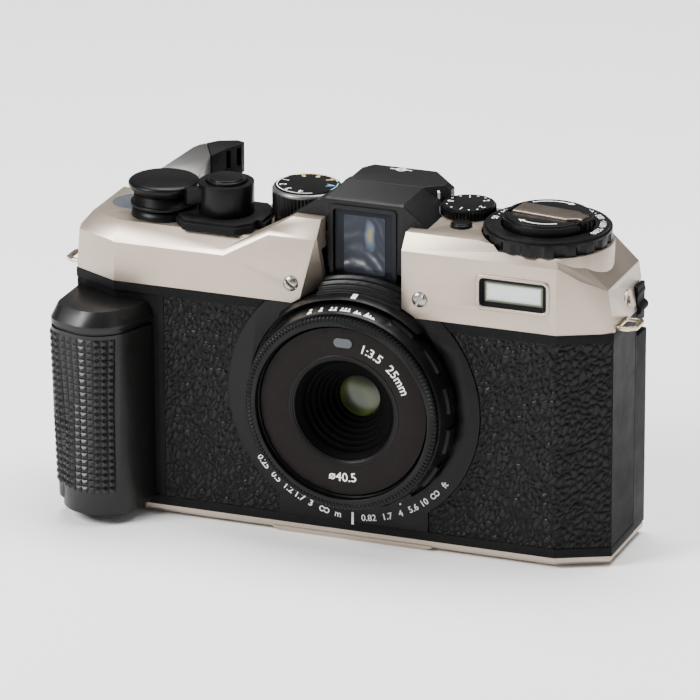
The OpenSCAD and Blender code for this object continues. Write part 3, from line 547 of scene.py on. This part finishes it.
# ---------------------------------------------------------------- leatherette

GRAIN_WIDTH, GRAIN_LENGTH, GRAIN_DEPTH = 1.15, 1.95, 0.58
GRAIN_COS, GRAIN_SIN = math.cos(math.radians(28)), math.sin(math.radians(28))
FRONT_PITCH, DOOR_PITCH = 0.22, 0.4
FRONT_SEED, DOOR_SEED = 1.5, 7.5
EDGE_ROUND = 0.3
EDGE_SINK = 0.15
DOOR_LIFT = 0.12
FOOT_HALF, FOOT_TOP = 17.7, 15.0
CHAMFER_WIDTH = 11.35
GRAIN_VALUES = []
noise.seed_set(5)


def pebbles(u, v, seed):
    """Height in millimetres of the pebbled grain at a place on the sheet."""
    at_warp = Vector((u / 3.2, v / 3.2, seed))
    bend = noise.noise_vector(at_warp) * 0.5 + noise.noise_vector(at_warp * 2.3) * 0.18
    across, along = u * GRAIN_COS - v * GRAIN_SIN, u * GRAIN_SIN + v * GRAIN_COS
    place = Vector((across / GRAIN_WIDTH, along / GRAIN_LENGTH, seed)) + bend
    near = noise.voronoi(place)[0]
    crease = min(1.0, (near[1] - near[0]) / 0.42)
    small = noise.voronoi(place * 2.2 + Vector((3, 5, 7)))[0]
    ripple = min(1.0, (small[1] - small[0]) / 0.4)
    return GRAIN_DEPTH * (crease ** 0.6 * 0.8 + ripple * 0.2 - 0.85)


def keep_grain(obj):
    """Stores the grain heights gathered so far on the sheet; its material paints shade in the creases and highlights
    on the pebbles from them.
    """
    values = obj.data.attributes.new("grain", "FLOAT", "POINT")
    values.data.foreach_set("value", GRAIN_VALUES)
    GRAIN_VALUES.clear()
    return obj


def leather_sheet(shape, us, vs, place, hole=None, seed=0.0):
    """Adds a grained sheet over a grid: place(u, v, h) puts a point in the frame, hole(u, v) clears a cutout."""
    points, inside = [], []
    for u in us:
        for v in vs:
            uu, vv, cut, edge = hole(u, v) if hole else (u, v, False, 9.0)
            rim = min(edge, uu - us[0], us[-1] - uu, vv - vs[0], vs[-1] - vv)
            fall = min(1.0, max(0.0, 1 - rim / EDGE_ROUND))
            height = pebbles(uu, vv, seed)
            GRAIN_VALUES.append(1 + height / GRAIN_DEPTH)
            points.append(place(uu, vv, height * (1 - fall) - EDGE_SINK * fall))
            inside.append(cut)
    faces = quads(len(us), len(vs), flip=True)
    shape.add(points, [face for face in faces if not all(inside[k] for k in face)])


def steps(low, high, pitch):
    """Evenly spaced values from low to high, about a pitch apart."""
    n = max(2, round((high - low) / pitch))
    return [low + (high - low) * i / n for i in range(n + 1)]


base_low, base_high = box("lens_base")
RING_CUT = (base_high.x - base_low.x) / 2 + 0.1


def lens_hole(u, v):
    """Keeps the sheet outside the lens base, which is a ring and a foot; also the distance from their edge."""
    r = math.hypot(u, v - LENS_Z)
    if r < RING_CUT and not (v < FOOT_TOP and r > RING_CUT - 0.01):
        k = RING_CUT / max(r, 0.01)
        nu, nv = u * k, LENS_Z + (v - LENS_Z) * k
        if nv < FOOT_TOP and abs(nu) < FOOT_HALF:
            nu = math.copysign(FOOT_HALF, u)
            nv = v
        return nu, nv, True, 0.0
    if v < FOOT_TOP and abs(u) < FOOT_HALF:
        return math.copysign(FOOT_HALF, u), v, True, 0.0
    edge = r - RING_CUT
    if v < FOOT_TOP:
        edge = min(edge, abs(u) - FOOT_HALF)
    return u, v, False, edge


leather_low, leather_high = box("front_leather")
CHAMFER_END = Vector((leather_high.x, leather_high.y - FRONT))
CORNER_X = CHAMFER_END.x - CHAMFER_WIDTH
chamfer = Vector((CHAMFER_END.x - CORNER_X, CHAMFER_END.y)).normalized()
chamfer_length = math.hypot(CHAMFER_END.x - CORNER_X, CHAMFER_END.y)


def wrapped(u, v, h):
    """Places the front sheet; past the corner it follows the chamfer."""
    over = max(0.0, u - CORNER_X)
    turn = min(1.0, max(0.0, (u - CORNER_X + 0.6) / 1.2))
    normal = Vector((chamfer.y * turn, -1 + (1 - chamfer.x) * turn)).normalized()
    x = min(u, CORNER_X) + over * chamfer.x
    d = over * chamfer.y
    return spot(x + normal.x * h, d + normal.y * h, v)


front_grain = Shape()
leather_v = steps(leather_low.z + 0.02, leather_high.z - 0.02, FRONT_PITCH)
for start, end in ((leather_low.x, 0), (0, CORNER_X + chamfer_length)):
    leather_sheet(front_grain, steps(start, end, FRONT_PITCH), leather_v, wrapped, lens_hole, FRONT_SEED)
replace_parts(keep_grain(front_grain.make("front_leather_grain", "leatherette", "body")), "front_leather")

door_low, door_high = box("door_leather")


def on_door(u, v, h):
    return Vector((-u + door_low.x + door_high.x, door_high.y + DOOR_LIFT + h, v))


door_grain = Shape()
leather_sheet(door_grain, steps(door_low.x, door_high.x, DOOR_PITCH), steps(door_low.z, door_high.z, DOOR_PITCH),
              on_door, None, DOOR_SEED)
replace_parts(keep_grain(door_grain.make("door_leather_grain", "leatherette", "door")), "door_leather")

# ---------------------------------------------------------------- grip knurl

STUD_ROWS, STUD_COLUMNS = 23, 12
STUD_ROW_PITCH, STUD_COLUMN_PITCH = 1.61, 1.62
STUD_LOW, STUD_RIGHT_X, STUD_HEIGHT = 8.6, -53.2, 0.42
STUD_STEP = 0.005  # radians
GRIP_MIDDLE = (-61.0, -4.5)
grip_tree = BVHTree.FromPolygons([v.co / MM for v in frame["nodes"]["grip_shell"].data.vertices],
                                 [list(f.vertices) for f in frame["nodes"]["grip_shell"].data.polygons])


def grip_hit(angle, z):
    """Outer surface of the grip in a direction round its middle; angle from the front, growing to the left."""
    way = Vector((-math.sin(angle), -math.cos(angle), 0))
    start = spot(*GRIP_MIDDLE, z) + way * 40
    point, normal, _, _ = grip_tree.ray_cast(start, -way)
    return point, normal


def stud_angles():
    """Angles that are a column pitch apart along the surface, from the right hand column round to the left."""
    z = STUD_LOW + STUD_ROWS * STUD_ROW_PITCH / 2
    angle = -1.2
    while grip_hit(angle, z)[0].x > STUD_RIGHT_X:
        angle += STUD_STEP
    found, travelled, last = [], 0.0, grip_hit(angle, z)[0]
    while len(found) < STUD_COLUMNS:
        here = grip_hit(angle, z)[0]
        travelled += (here - last).length
        last = here
        if travelled >= len(found) * STUD_COLUMN_PITCH + STUD_COLUMN_PITCH / 2:
            found.append(angle)
        angle += STUD_STEP
    return found


studs = Shape()
for angle in stud_angles():
    for row in range(STUD_ROWS):
        z = STUD_LOW + row * STUD_ROW_PITCH
        point, normal = grip_hit(angle, z)
        if normal.dot(Vector((-math.sin(angle), -math.cos(angle), 0))) < 0:
            normal = -normal
        side = Vector((0, 0, 1)).cross(normal).normalized()
        tall = normal.cross(side)
        rings = []
        for half, h in ((0.5, -0.08), (0.47, 0.06), (0.15, STUD_HEIGHT)):
            w, t = half * STUD_COLUMN_PITCH, half * STUD_ROW_PITCH
            rings += [point + side * (w * i) + tall * (t * j) + normal * h
                      for i, j in ((-1, -1), (1, -1), (1, 1), (-1, 1))]
        studs.add(rings, quads(3, 4, closed=True) + [[8, 9, 10, 11]])
studs.make("grip_studs", "grip_black", "body", smooth=False)

# ---------------------------------------------------------------- lens details

LETTER_LIFT = 0.03
RIB_COUNT, RIB_STEPS, RIB_DIP = 150, 4, 0.22
NAME_RADIUS, NAME_AHEAD, NAME_SIZE = 15.65, 6.5, 2.9
SCALE_RADIUS, SCALE_AHEAD, SCALE_SIZE = 27.35, 0.28, 2.1
DOME_BOW, DOME_TURNS, DOME_RINGS = 0.87, 64, 10
lens_mid = centre("lens_barrel")


def on_lens_axis(u, v, h):
    """Places a turned profile on the lens axis, h ahead of the front face."""
    return Vector((lens_mid.x + u, FRONT - h, LENS_Z + v))


rib_top = (box("lens_barrel")[1].x - box("lens_barrel")[0].x) / 2


def rib_profile(step):
    """Closed section of the ribbed front rim, lower between the ribs."""
    dip = RIB_DIP if step % RIB_STEPS < RIB_STEPS / 2 else 0.0
    return [(rib_top - 0.95, LENS_OUT - 0.05), (rib_top - 0.85, LENS_OUT + 0.24 - dip),
            (rib_top - 0.1 - dip, LENS_OUT + 0.22 - dip), (rib_top + 0.28 - dip, LENS_OUT - 0.12),
            (rib_top + 0.28 - dip, LENS_OUT - 0.9), (rib_top - 0.3, LENS_OUT - 1.0)]


ribs = Shape().turned(rib_profile, on_lens_axis, RIB_COUNT * RIB_STEPS)
ribs.make("front_ring_ribs", "black_satin", "lens_cell", smooth=False)

# Stepped lip inside the name ring.
LIP = [(13.0, 6.3), (12.95, 6.42), (12.7, 6.42), (12.55, 6.22), (12.4, 6.32), (12.25, 6.3), (12.1, 6.08),
       (11.95, 6.16), (11.8, 6.1), (11.6, 5.7), (12.6, 5.6)]
Shape().turned(LIP, on_lens_axis).make("name_ring_lip", "black_satin", "lens_cell")

# Front glass as a smooth dome over the CAD one.
glass_low, glass_high = box("front_element")
glass_r, glass_ahead = (glass_high.x - glass_low.x) / 2, FRONT - glass_low.y
dome = Shape()
rings = []
for k in range(1, DOME_RINGS + 1):
    share = k / DOME_RINGS
    for i in range(DOME_TURNS):
        a = 2 * math.pi * i / DOME_TURNS
        rings.append(on_lens_axis(glass_r * share * math.cos(a), glass_r * share * math.sin(a),
                                  glass_ahead - DOME_BOW * share ** 2))
faces = [[i, (i + 1) % DOME_TURNS, len(rings)] for i in range(DOME_TURNS)]
faces += quads(DOME_RINGS, DOME_TURNS, closed=True, flip=True)
dome.add(rings + [on_lens_axis(0, 0, glass_ahead)], faces)
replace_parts(dome.make("front_glass_dome", "lens_glass", "lens_cell"), "front_element")

numbers = Shape()
for text, angle, inward in (("1:3.5", 65, False), ("25mm", 34.5, False), ("\u00f840.5", -90.5, True)):
    letter(numbers, text, NAME_SIZE, round_lens(NAME_RADIUS, angle, NAME_AHEAD, inward))
numbers.make("lens_numbers", "white_paint", "lens_cell")

distance_scale = Shape()
SCALE_MARKS = (("0.25", -141.6), ("0.5", -132.3), ("1.2", -124.7), ("1.7", -118.2), ("3", -111.9), ("m", -97.8),
               ("0.82", -82.4), ("1.7", -73.0), ("4", -65.8), ("5.6", -58.7), ("10", -52.2), ("ft", -37.7))
for text, angle in SCALE_MARKS:
    letter(distance_scale, text, SCALE_SIZE, round_lens(SCALE_RADIUS, angle, SCALE_AHEAD, True))


def ring_outline(shape, outer, inner, place, steps=24, start=0.0, sweep=360.0):
    """A flat ring or arc; place(u, v) puts a point in the frame."""
    points = []
    for i in range(steps + 1):
        a = math.radians(start + sweep * i / steps)
        points += [place(outer * math.cos(a), outer * math.sin(a)), place(inner * math.cos(a), inner * math.sin(a))]
    shape.add(points, [[2 * i, 2 * i + 2, 2 * i + 3, 2 * i + 1] for i in range(steps)])


for angle in (-104.8, -45.2):
    at_angle = round_lens(SCALE_RADIUS, angle, SCALE_AHEAD, True)
    for side in (-0.55, 0.55):
        ring_outline(distance_scale, 0.68, 0.42, lambda u, v, s=side: at_angle(u + s, v))
for radius, angle, outline in ((SCALE_RADIUS + 0.3, -90.5, bar(0.55, 2.9)), (25.1, -64, bar(0.4, 0.7))):
    at_angle = round_lens(radius, angle, SCALE_AHEAD, True)
    distance_scale.add([at_angle(u, v) for u, v in outline], [[0, 1, 2, 3]])
distance_scale.make("distance_scale", "white_paint", "body")

# Zone marks on the focus ring's sloping band: one, one, two and three people, then peaks.
BAND_BACK, BAND_FRONT, BAND_WIDTH = (23.8, 3.4), (22.9, 6.8), 3.5


def on_band(angle):
    """Places (u, v) on the sloping band; v runs from its middle forwards."""
    def place(u, v):
        k = 0.5 + v / BAND_WIDTH
        r, h = (a + (b - a) * k for a, b in zip(BAND_BACK, BAND_FRONT))
        r += LETTER_LIFT
        return on_lens(r, angle - math.degrees(u / r), h)
    return place


zones = Shape()


def person(angle, u, size):
    """A plain figure: a round head over tapering shoulders."""
    place = on_band(angle)
    head = [(u + x * size * 0.8, 0.45 * size - y * size * 0.8) for x, y in disc(0.42, 10)]
    zones.add([place(x, -y) for x, y in head], [list(range(10))])
    zones.add([place(u + x * size, y * size) for x, y in ((-0.55, 0.9), (0.55, 0.9), (0.3, 0.05), (-0.3, 0.05))],
              [[0, 1, 2, 3]])


PEOPLE = ((110.5, ((0, 1.15),)), (103.8, ((0, 0.95),)), (96.6, ((-0.5, 0.85), (0.5, 0.85))),
          (89.6, ((-0.8, 0.75), (0, 0.8), (0.8, 0.75))))
for angle, people in PEOPLE:
    for u, size in people:
        person(angle, u, size)
PEAKS = ((82.3, (0.9, 0.6)), (75.2, (1.2, 0.8, 0.5)))
for angle, heights in PEAKS:
    place = on_band(angle)
    for k, high in enumerate(heights):
        u = (k - (len(heights) - 1) / 2) * 0.8
        zones.add([place(u - 0.6, 0.8), place(u + 0.6, 0.8), place(u, 0.8 - 1.5 * high)], [[0, 1, 2]])
zones.make("zone_marks", "white_paint", "focus")

# White index on top of the shroud.
SHROUD_LINE = ((0.6, 25.58), (1.5, 25.45), (2.6, 25.16))
shroud_mark = Shape()
shroud_mark.add([on_lens(r, 88 + side * 1.3, h) for h, r in SHROUD_LINE for side in (1, -1)],
                [[0, 1, 3, 2], [2, 3, 5, 4]])
shroud_mark.make("shroud_index", "white_paint", "body", smooth=False)

# ---------------------------------------------------------------- screws on the front

SCREW_R, SCREW_DOME, SCREW_EDGE = 1.75, 0.75, 0.12
SLOT_HALF, SLOT_FLOOR = 0.27, 0.1
SCREW_ROWS, SCREW_COLUMNS = 12, 16


def domed_screw(shape, x, z, slot_angle):
    """A slotted dome head on the front face: two half domes either side of the slot, and the slot's floor."""
    place, c, k = facing(x, z), math.cos(math.radians(slot_angle)), math.sin(math.radians(slot_angle))

    def at(along, off, h):
        return place(along * c - off * k, along * k + off * c, h)

    offs = [SLOT_HALF + (SCREW_R - SLOT_HALF) * (i / SCREW_ROWS) ** 0.8 for i in range(SCREW_ROWS + 1)]
    for side in (-1, 1):
        points = []
        for row, off in enumerate([SLOT_HALF, *offs]):
            half = math.sqrt(max(0.0, SCREW_R ** 2 - off ** 2))
            for j in range(SCREW_COLUMNS + 1):
                along = half * math.sin(math.pi / 2 * (2 * j / SCREW_COLUMNS - 1))
                r = min(1.0, math.hypot(along, off) / SCREW_R)
                height = SCREW_EDGE + SCREW_DOME * (1 - r * r) ** 0.6 if row else SLOT_FLOOR
                points.append(at(along, side * off, height))
        shape.add(points, quads(SCREW_ROWS + 2, SCREW_COLUMNS + 1))
    shape.add([at(u, v, SLOT_FLOOR) for u, v in bar(2 * SCREW_R - 0.1, 2 * SLOT_HALF)], [[0, 1, 2, 3]])
    shape.prism(disc(SCREW_R, 48), place, 0.09)


front_screws = Shape()
screws_low, screws_high = box("cover_screws")
screw_z = (screws_low.z + screws_high.z) / 2
domed_screw(front_screws, screws_low.x + SCREW_R, screw_z, -38)
domed_screw(front_screws, screws_high.x - SCREW_R, screw_z, 62)
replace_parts(front_screws.make("front_screw_heads", "screw_metal", "body", slot="bright_metal"), "cover_screws")

# ---------------------------------------------------------------- windows

FLASH_RIB, FLASH_RIB_HEIGHT, FLASH_COLUMN = 0.42, 0.08, 1.5
WINDOW_SET_BACK = 0.5

flash_low, flash_high = box("flash_window")
flash_us = steps(flash_low.x, flash_high.x, FLASH_COLUMN)
flash_vs = steps(flash_low.z, flash_high.z, FLASH_RIB / 8)
flash_panel = Shape()
flash_panel.add([Vector((u, flash_low.y - FLASH_RIB_HEIGHT * abs(math.sin(math.pi * v / FLASH_RIB)), v))
                 for u in flash_us for v in flash_vs], quads(len(flash_us), len(flash_vs), flip=True))
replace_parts(flash_panel.make("flash_window_ribbed", "flash_lens", "body", slot="clear_glass"), "flash_window")

window_low, window_high = box("viewfinder_window")


def rounded(x0, x1, z0, z1, r, n=5):
    """Outline of a rectangle with rounded corners."""
    corners = ((x1 - r, z1 - r, 0), (x0 + r, z1 - r, 90), (x0 + r, z0 + r, 180), (x1 - r, z0 + r, 270))
    return [(cx + r * math.cos(math.radians(a + 90 * i / n)), cz + r * math.sin(math.radians(a + 90 * i / n)))
            for cx, cz, a in corners for i in range(n + 1)]


def window_place(u, v, h):
    """Places things in the finder window: h out of a plane set back in it."""
    return Vector((u, window_low.y + WINDOW_SET_BACK - h, v))


def loft(outlines, place):
    """Skin through outlines of the same number of points, given as (outline, height)."""
    points = [place(u, v, h) for outline, h in outlines for u, v in outline]
    return Shape().add(points, quads(len(outlines), len(outlines[0][0]), closed=True))


border = Shape()
border.prism(rounded(window_low.x, window_high.x, window_low.z, window_high.z, 0.6), window_place, 0.3)
border = border.make("window_border", "dark_glass", "body", smooth=False, slot="clear_glass")
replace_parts(border, "viewfinder_window")
optics = Shape()
optics.prism(rounded(-4.6, 5.1, window_low.z + 0.7, window_high.z - 1.2, 0.5), window_place, 0.42)
optics.make("window_optics", "finder_glass", "body", smooth=False, slot="clear_glass")

bezel_low, bezel_high = box("flash_bezel")


def bezel_loft(sections):
    """Skin through (inset, corner radius, depth) sections of the flash bezel, depth behind its front."""
    outlines = [(rounded(bezel_low.x + inset, bezel_high.x - inset, bezel_low.z + inset, bezel_high.z - inset, r), d)
                for inset, r, d in sections]
    return loft(outlines, lambda u, v, d: Vector((u, bezel_low.y + d, v)))


RIM = [(0, 1.5, 1.0), (0, 1.5, 0.28), (0.12, 1.4, 0.08), (0.32, 1.3, 0), (0.62, 1.1, 0), (0.8, 1.0, 0.1),
       (0.9, 0.95, 0.3)]
SLOPE = [(0.86, 0.95, 0.22), (1.75, 0.5, 1.25)]
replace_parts(bezel_loft(RIM).make("flash_rim", "champagne", "body", slot="bright_metal"), "flash_bezel")
bezel_loft(SLOPE).make("flash_slope", "black_trim", "body")

frame_outer = rounded(-7.7, 7.9, window_low.z - 0.6, window_high.z + 1.0, 1.0)
frame_inner = rounded(-6.9, 7.1, window_low.z - 0.4, window_high.z + 0.1, 0.7)
window_frame = loft([(frame_outer, 0.6), (frame_outer, 1.15), (frame_inner, 1.15), (frame_inner, -0.2)], window_place)
window_frame.make("window_frame", "black_crinkle", "body", smooth=False)

# ---------------------------------------------------------------- marks on the hood

HOOD_SYMBOL = (0.45, 28.9)
HOOD_LINE = ((12.45, 20.57, 74.4), (12.45, 20.57, 76.95), (11.9, 21.1, 78.0), (11.4, 21.5, 78.33),
             (10.9, 22.8, 78.34))
HOOD_LINE_LIFT = Vector((0.03, -0.05, 0.06))
HOOD_LINE_HALF = Vector((0.781, 0.625, 0)) * 0.28
hood_top = box("viewfinder_hood")[1].z + 0.02


def on_hood(u, v):
    return spot(HOOD_SYMBOL[0] + u, HOOD_SYMBOL[1] + v, hood_top)


hood_marks = Shape()
ring_outline(hood_marks, 1.15, 0.75, on_hood)
for off, width in ((-1.85, 1.5), (1.85, 1.5), (0, 1.7)):
    hood_marks.add([on_hood(off + u, v) for u, v in bar(width, 0.4)], [[0, 1, 2, 3]])
hood_marks.add([spot(*p) + HOOD_LINE_LIFT + HOOD_LINE_HALF * side for p in HOOD_LINE for side in (-1, 1)],
               quads(len(HOOD_LINE), 2))
hood_marks.make("hood_marks", "white_paint", "body", smooth=False)

# ---------------------------------------------------------------- dials


def dial_top(node):
    """Height at which paint lies on a dial."""
    return box(node)[1].z + LETTER_LIFT


def flat_on(node):
    """Places flat marks on top of a dial."""
    mid, top = centre(node), dial_top(node)
    return lambda u, v: Vector((mid.x + u, mid.y + v, top))


def dots(shape, node, radius, angles, size):
    """Adds a round dot on top of a dial at each angle."""
    place = flat_on(node)
    for angle in angles:
        x, y = radius * math.cos(math.radians(angle)), radius * math.sin(math.radians(angle))
        shape.add([place(x + u, y + v) for u, v in disc(size, 8)], [list(range(8))])


FIGURE_SIZE = 2.0
EXPOSURE_MARKS = (("0", 183), ("1", 107), ("2", 40), ("1", -94), ("2", -25))
exposure = Shape()
for text, angle in EXPOSURE_MARKS:
    letter(exposure, text, FIGURE_SIZE, round_dial("exposure_dial", dial_top("exposure_dial"), 4.1, angle))
dots(exposure, "exposure_dial", 4.9, (158, 132, 85, 62, 208, 238, -70, -48), 0.25)
exposure.make("exposure_marks", "white_paint", "exposure", smooth=False)

ISO_MARKS = ("50", "100", "125", "160", "200", "400", "800", "1600", "3200")
ISO_FIRST, ISO_STEP = 183, 24
iso_numbers = Shape()
for i, text in enumerate(ISO_MARKS):
    at_number = round_dial("iso_dial", dial_top("iso_dial"), 12.0, ISO_FIRST - i * ISO_STEP)
    letter(iso_numbers, text, FIGURE_SIZE, at_number)
between = [ISO_FIRST - (i + 0.5) * ISO_STEP for i in range(len(ISO_MARKS) - 1)]
dots(iso_numbers, "iso_dial", 12.2, between, 0.2)
iso_numbers.make("film_speed_numbers", "white_paint", "iso", smooth=False)

# Ribbed finger knob of the crank.
KNOB_RIBS, KNOB_RIB_STEPS, KNOB_DIP = 14, 6, 0.28
KNOB_R, KNOB_HEIGHT = 2.7, 3.75
knob_base = box("crank_knob")[0].z


def finger_profile(step):
    """Section of the finger knob from its underside to its top, lower between the ribs."""
    edge, top = KNOB_R - (KNOB_DIP if step % KNOB_RIB_STEPS < 2 else 0), knob_base + KNOB_HEIGHT
    return [(0, knob_base), (KNOB_R - 0.2, knob_base), (edge, knob_base + 0.3), (edge, top - 0.45),
            (KNOB_R - 0.3, top), (0, top)]


finger = Shape().turned(finger_profile, upright("crank_knob"), KNOB_RIBS * KNOB_RIB_STEPS, closed=False, flip=True)
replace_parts(finger.make("crank_knob_ribbed", "black_trim", "crank_grip", smooth=False), "crank_knob")

# Two curved arrows on the rewind knob.
ARROWS = ((7.6, -56, -60), (8.0, 134, -62))
knob_marks = Shape()
knob = flat_on("rewind_knob")
for radius, start, sweep in ARROWS:
    ring_outline(knob_marks, radius + 0.2, radius - 0.2, knob, 20, start, sweep)
    end = math.radians(start + sweep)
    tip = Vector((radius * math.cos(end), radius * math.sin(end)))
    way = Vector((math.sin(end), -math.cos(end)))
    side = Vector((math.cos(end), math.sin(end)))
    knob_marks.add([knob(*p) for p in (tip + way * 1.5, tip + side * 0.75, tip - side * 0.75)], [[0, 1, 2]])
knob_marks.make("rewind_arrows", "white_paint", "rewind_lift", smooth=False)

# Wind lever: a dark plate under its hub, and a dark skirt on the cover below that.
PLATE = [(4.7, 70.3), (7.4, 70.3), (7.6, 70.45), (7.6, 70.95), (7.4, 71.1), (6.8, 71.15), (6.8, 73.05), (4.7, 73.05)]
SKIRT = [(4.9, 67.4), (7.3, 67.4), (7.5, 67.8), (7.1, 69.9), (4.9, 70.0)]
on_hub = upright("lever_cap")
Shape().turned(PLATE, on_hub).make("lever_plate", "black_satin", "lever")
Shape().turned(SKIRT, on_hub).make("lever_skirt", "black_satin", "body")

mode_low, mode_high = box("mode_dial")
MODE_R, MODE_TOP = (mode_high.x - mode_low.x) / 2, mode_high.z
MODE_RING = [(MODE_R - 0.75, MODE_TOP - 1.35), (MODE_R - 0.05, MODE_TOP - 1.35), (MODE_R - 0.02, MODE_TOP - 0.95),
             (MODE_R - 0.35, MODE_TOP - 0.35), (MODE_R - 0.75, MODE_TOP - 0.3)]
Shape().turned(MODE_RING, upright("mode_dial")).make("mode_ring", "gunmetal", "mode")

# Figures and arcs on the mode dial: paint, figures as (text, angle), their size and inset, arc (steps, start, sweep).
MODE_MARKS = (
    ("white", (("1", 172), ("2", 205), ("3", 240), ("4", 275)), 2.2, 2.5, (40, 150, 150)),
    ("yellow", (("5", 120), ("6", 85), ("7", 48)), 2.2, 2.5, (30, 30, 105)),
    ("blue", (("A", 5),), 2.6, 2.6, (12, -20, 42)),
)
for color, figures, size, inset, arc in MODE_MARKS:
    marks = Shape()
    ring_outline(marks, MODE_R - 1.0, MODE_R - 1.25, flat_on("mode_dial"), *arc)
    for text, angle in figures:
        letter(marks, text, size, round_dial("mode_dial", dial_top("mode_dial"), MODE_R - inset, angle))
    marks.make("mode_marks_" + color, color + "_paint", "mode", smooth=False)

# ---------------------------------------------------------------- stage, light and camera

LIGHT_AIM = Vector((0, 0, 0.04))
WORLD_STRENGTH = 0.2

floor = bpy.data.objects.new("floor", bpy.data.meshes.new("floor"))
floor.data.from_pydata([(-3, -3, 0), (3, -3, 0), (3, 3, 0), (-3, 3, 0)], [], [[0, 1, 2, 3]])
scene.collection.objects.link(floor)
pale = Paint("pale_floor", (0.95, 0.95, 0.95), 0.7)
pale.vary_color(pale.noise(80, 2), 0.99, 1.01)
floor.data.materials.append(pale.material)

world = bpy.data.worlds.new("studio")
world.use_nodes = True
world.node_tree.nodes["Background"].inputs["Color"].default_value = (1, 1, 1, 1)
world.node_tree.nodes["Background"].inputs["Strength"].default_value = WORLD_STRENGTH
scene.world = world


def soft_light(name, place, width, height, watts):
    """A rectangular soft box aimed at the middle of the object, in metres."""
    data = bpy.data.lights.new(name, "AREA")
    data.shape, data.size, data.size_y, data.energy = "RECTANGLE", width, height, watts
    obj = bpy.data.objects.new(name, data)
    obj.location = place
    obj.rotation_euler = (LIGHT_AIM - Vector(place)).to_track_quat("-Z", "Y").to_euler()
    scene.collection.objects.link(obj)


soft_light("key", (-0.62, -0.62, 0.7), 0.45, 0.45, 19)
soft_light("overhead", (0.05, 0.2, 0.95), 0.9, 0.5, 21)
soft_light("right_fill", (0.95, -0.35, 0.4), 0.35, 0.7, 1.2)

# Where the camera stands: angles in degrees, distance and offsets in millimetres from a point under the lens.
VIEW_AZIMUTH, VIEW_ELEVATION, VIEW_ROLL = 21.034, 20.116, -0.217
VIEW_DISTANCE, VIEW_RIGHT, VIEW_UP = 1406.19, -0.92, 41.95
VIEW_ORIGIN = Vector((0, FRONT, 0.8))
VIEW_LENS, VIEW_SENSOR = 324.45, 36.0

az, el, roll = (math.radians(a) for a in (VIEW_AZIMUTH, VIEW_ELEVATION, VIEW_ROLL))
back = Vector((math.sin(az) * math.cos(el), -math.cos(az) * math.cos(el), math.sin(el)))
right = Vector((math.cos(az), math.sin(az), 0))
up = back.cross(right)
right, up = (right * math.cos(roll) + up * math.sin(roll), up * math.cos(roll) - right * math.sin(roll))
camera = bpy.data.objects.new("camera", bpy.data.cameras.new("camera"))
camera.data.lens, camera.data.sensor_width = VIEW_LENS, VIEW_SENSOR
camera.data.clip_start, camera.data.clip_end = 0.1, 20
place = (VIEW_ORIGIN + back * VIEW_DISTANCE + right * VIEW_RIGHT + up * VIEW_UP) * MM
camera.matrix_world = Matrix.Translation(place) @ Matrix((right, up, back)).transposed().to_4x4()
scene.collection.objects.link(camera)
scene.camera = camera
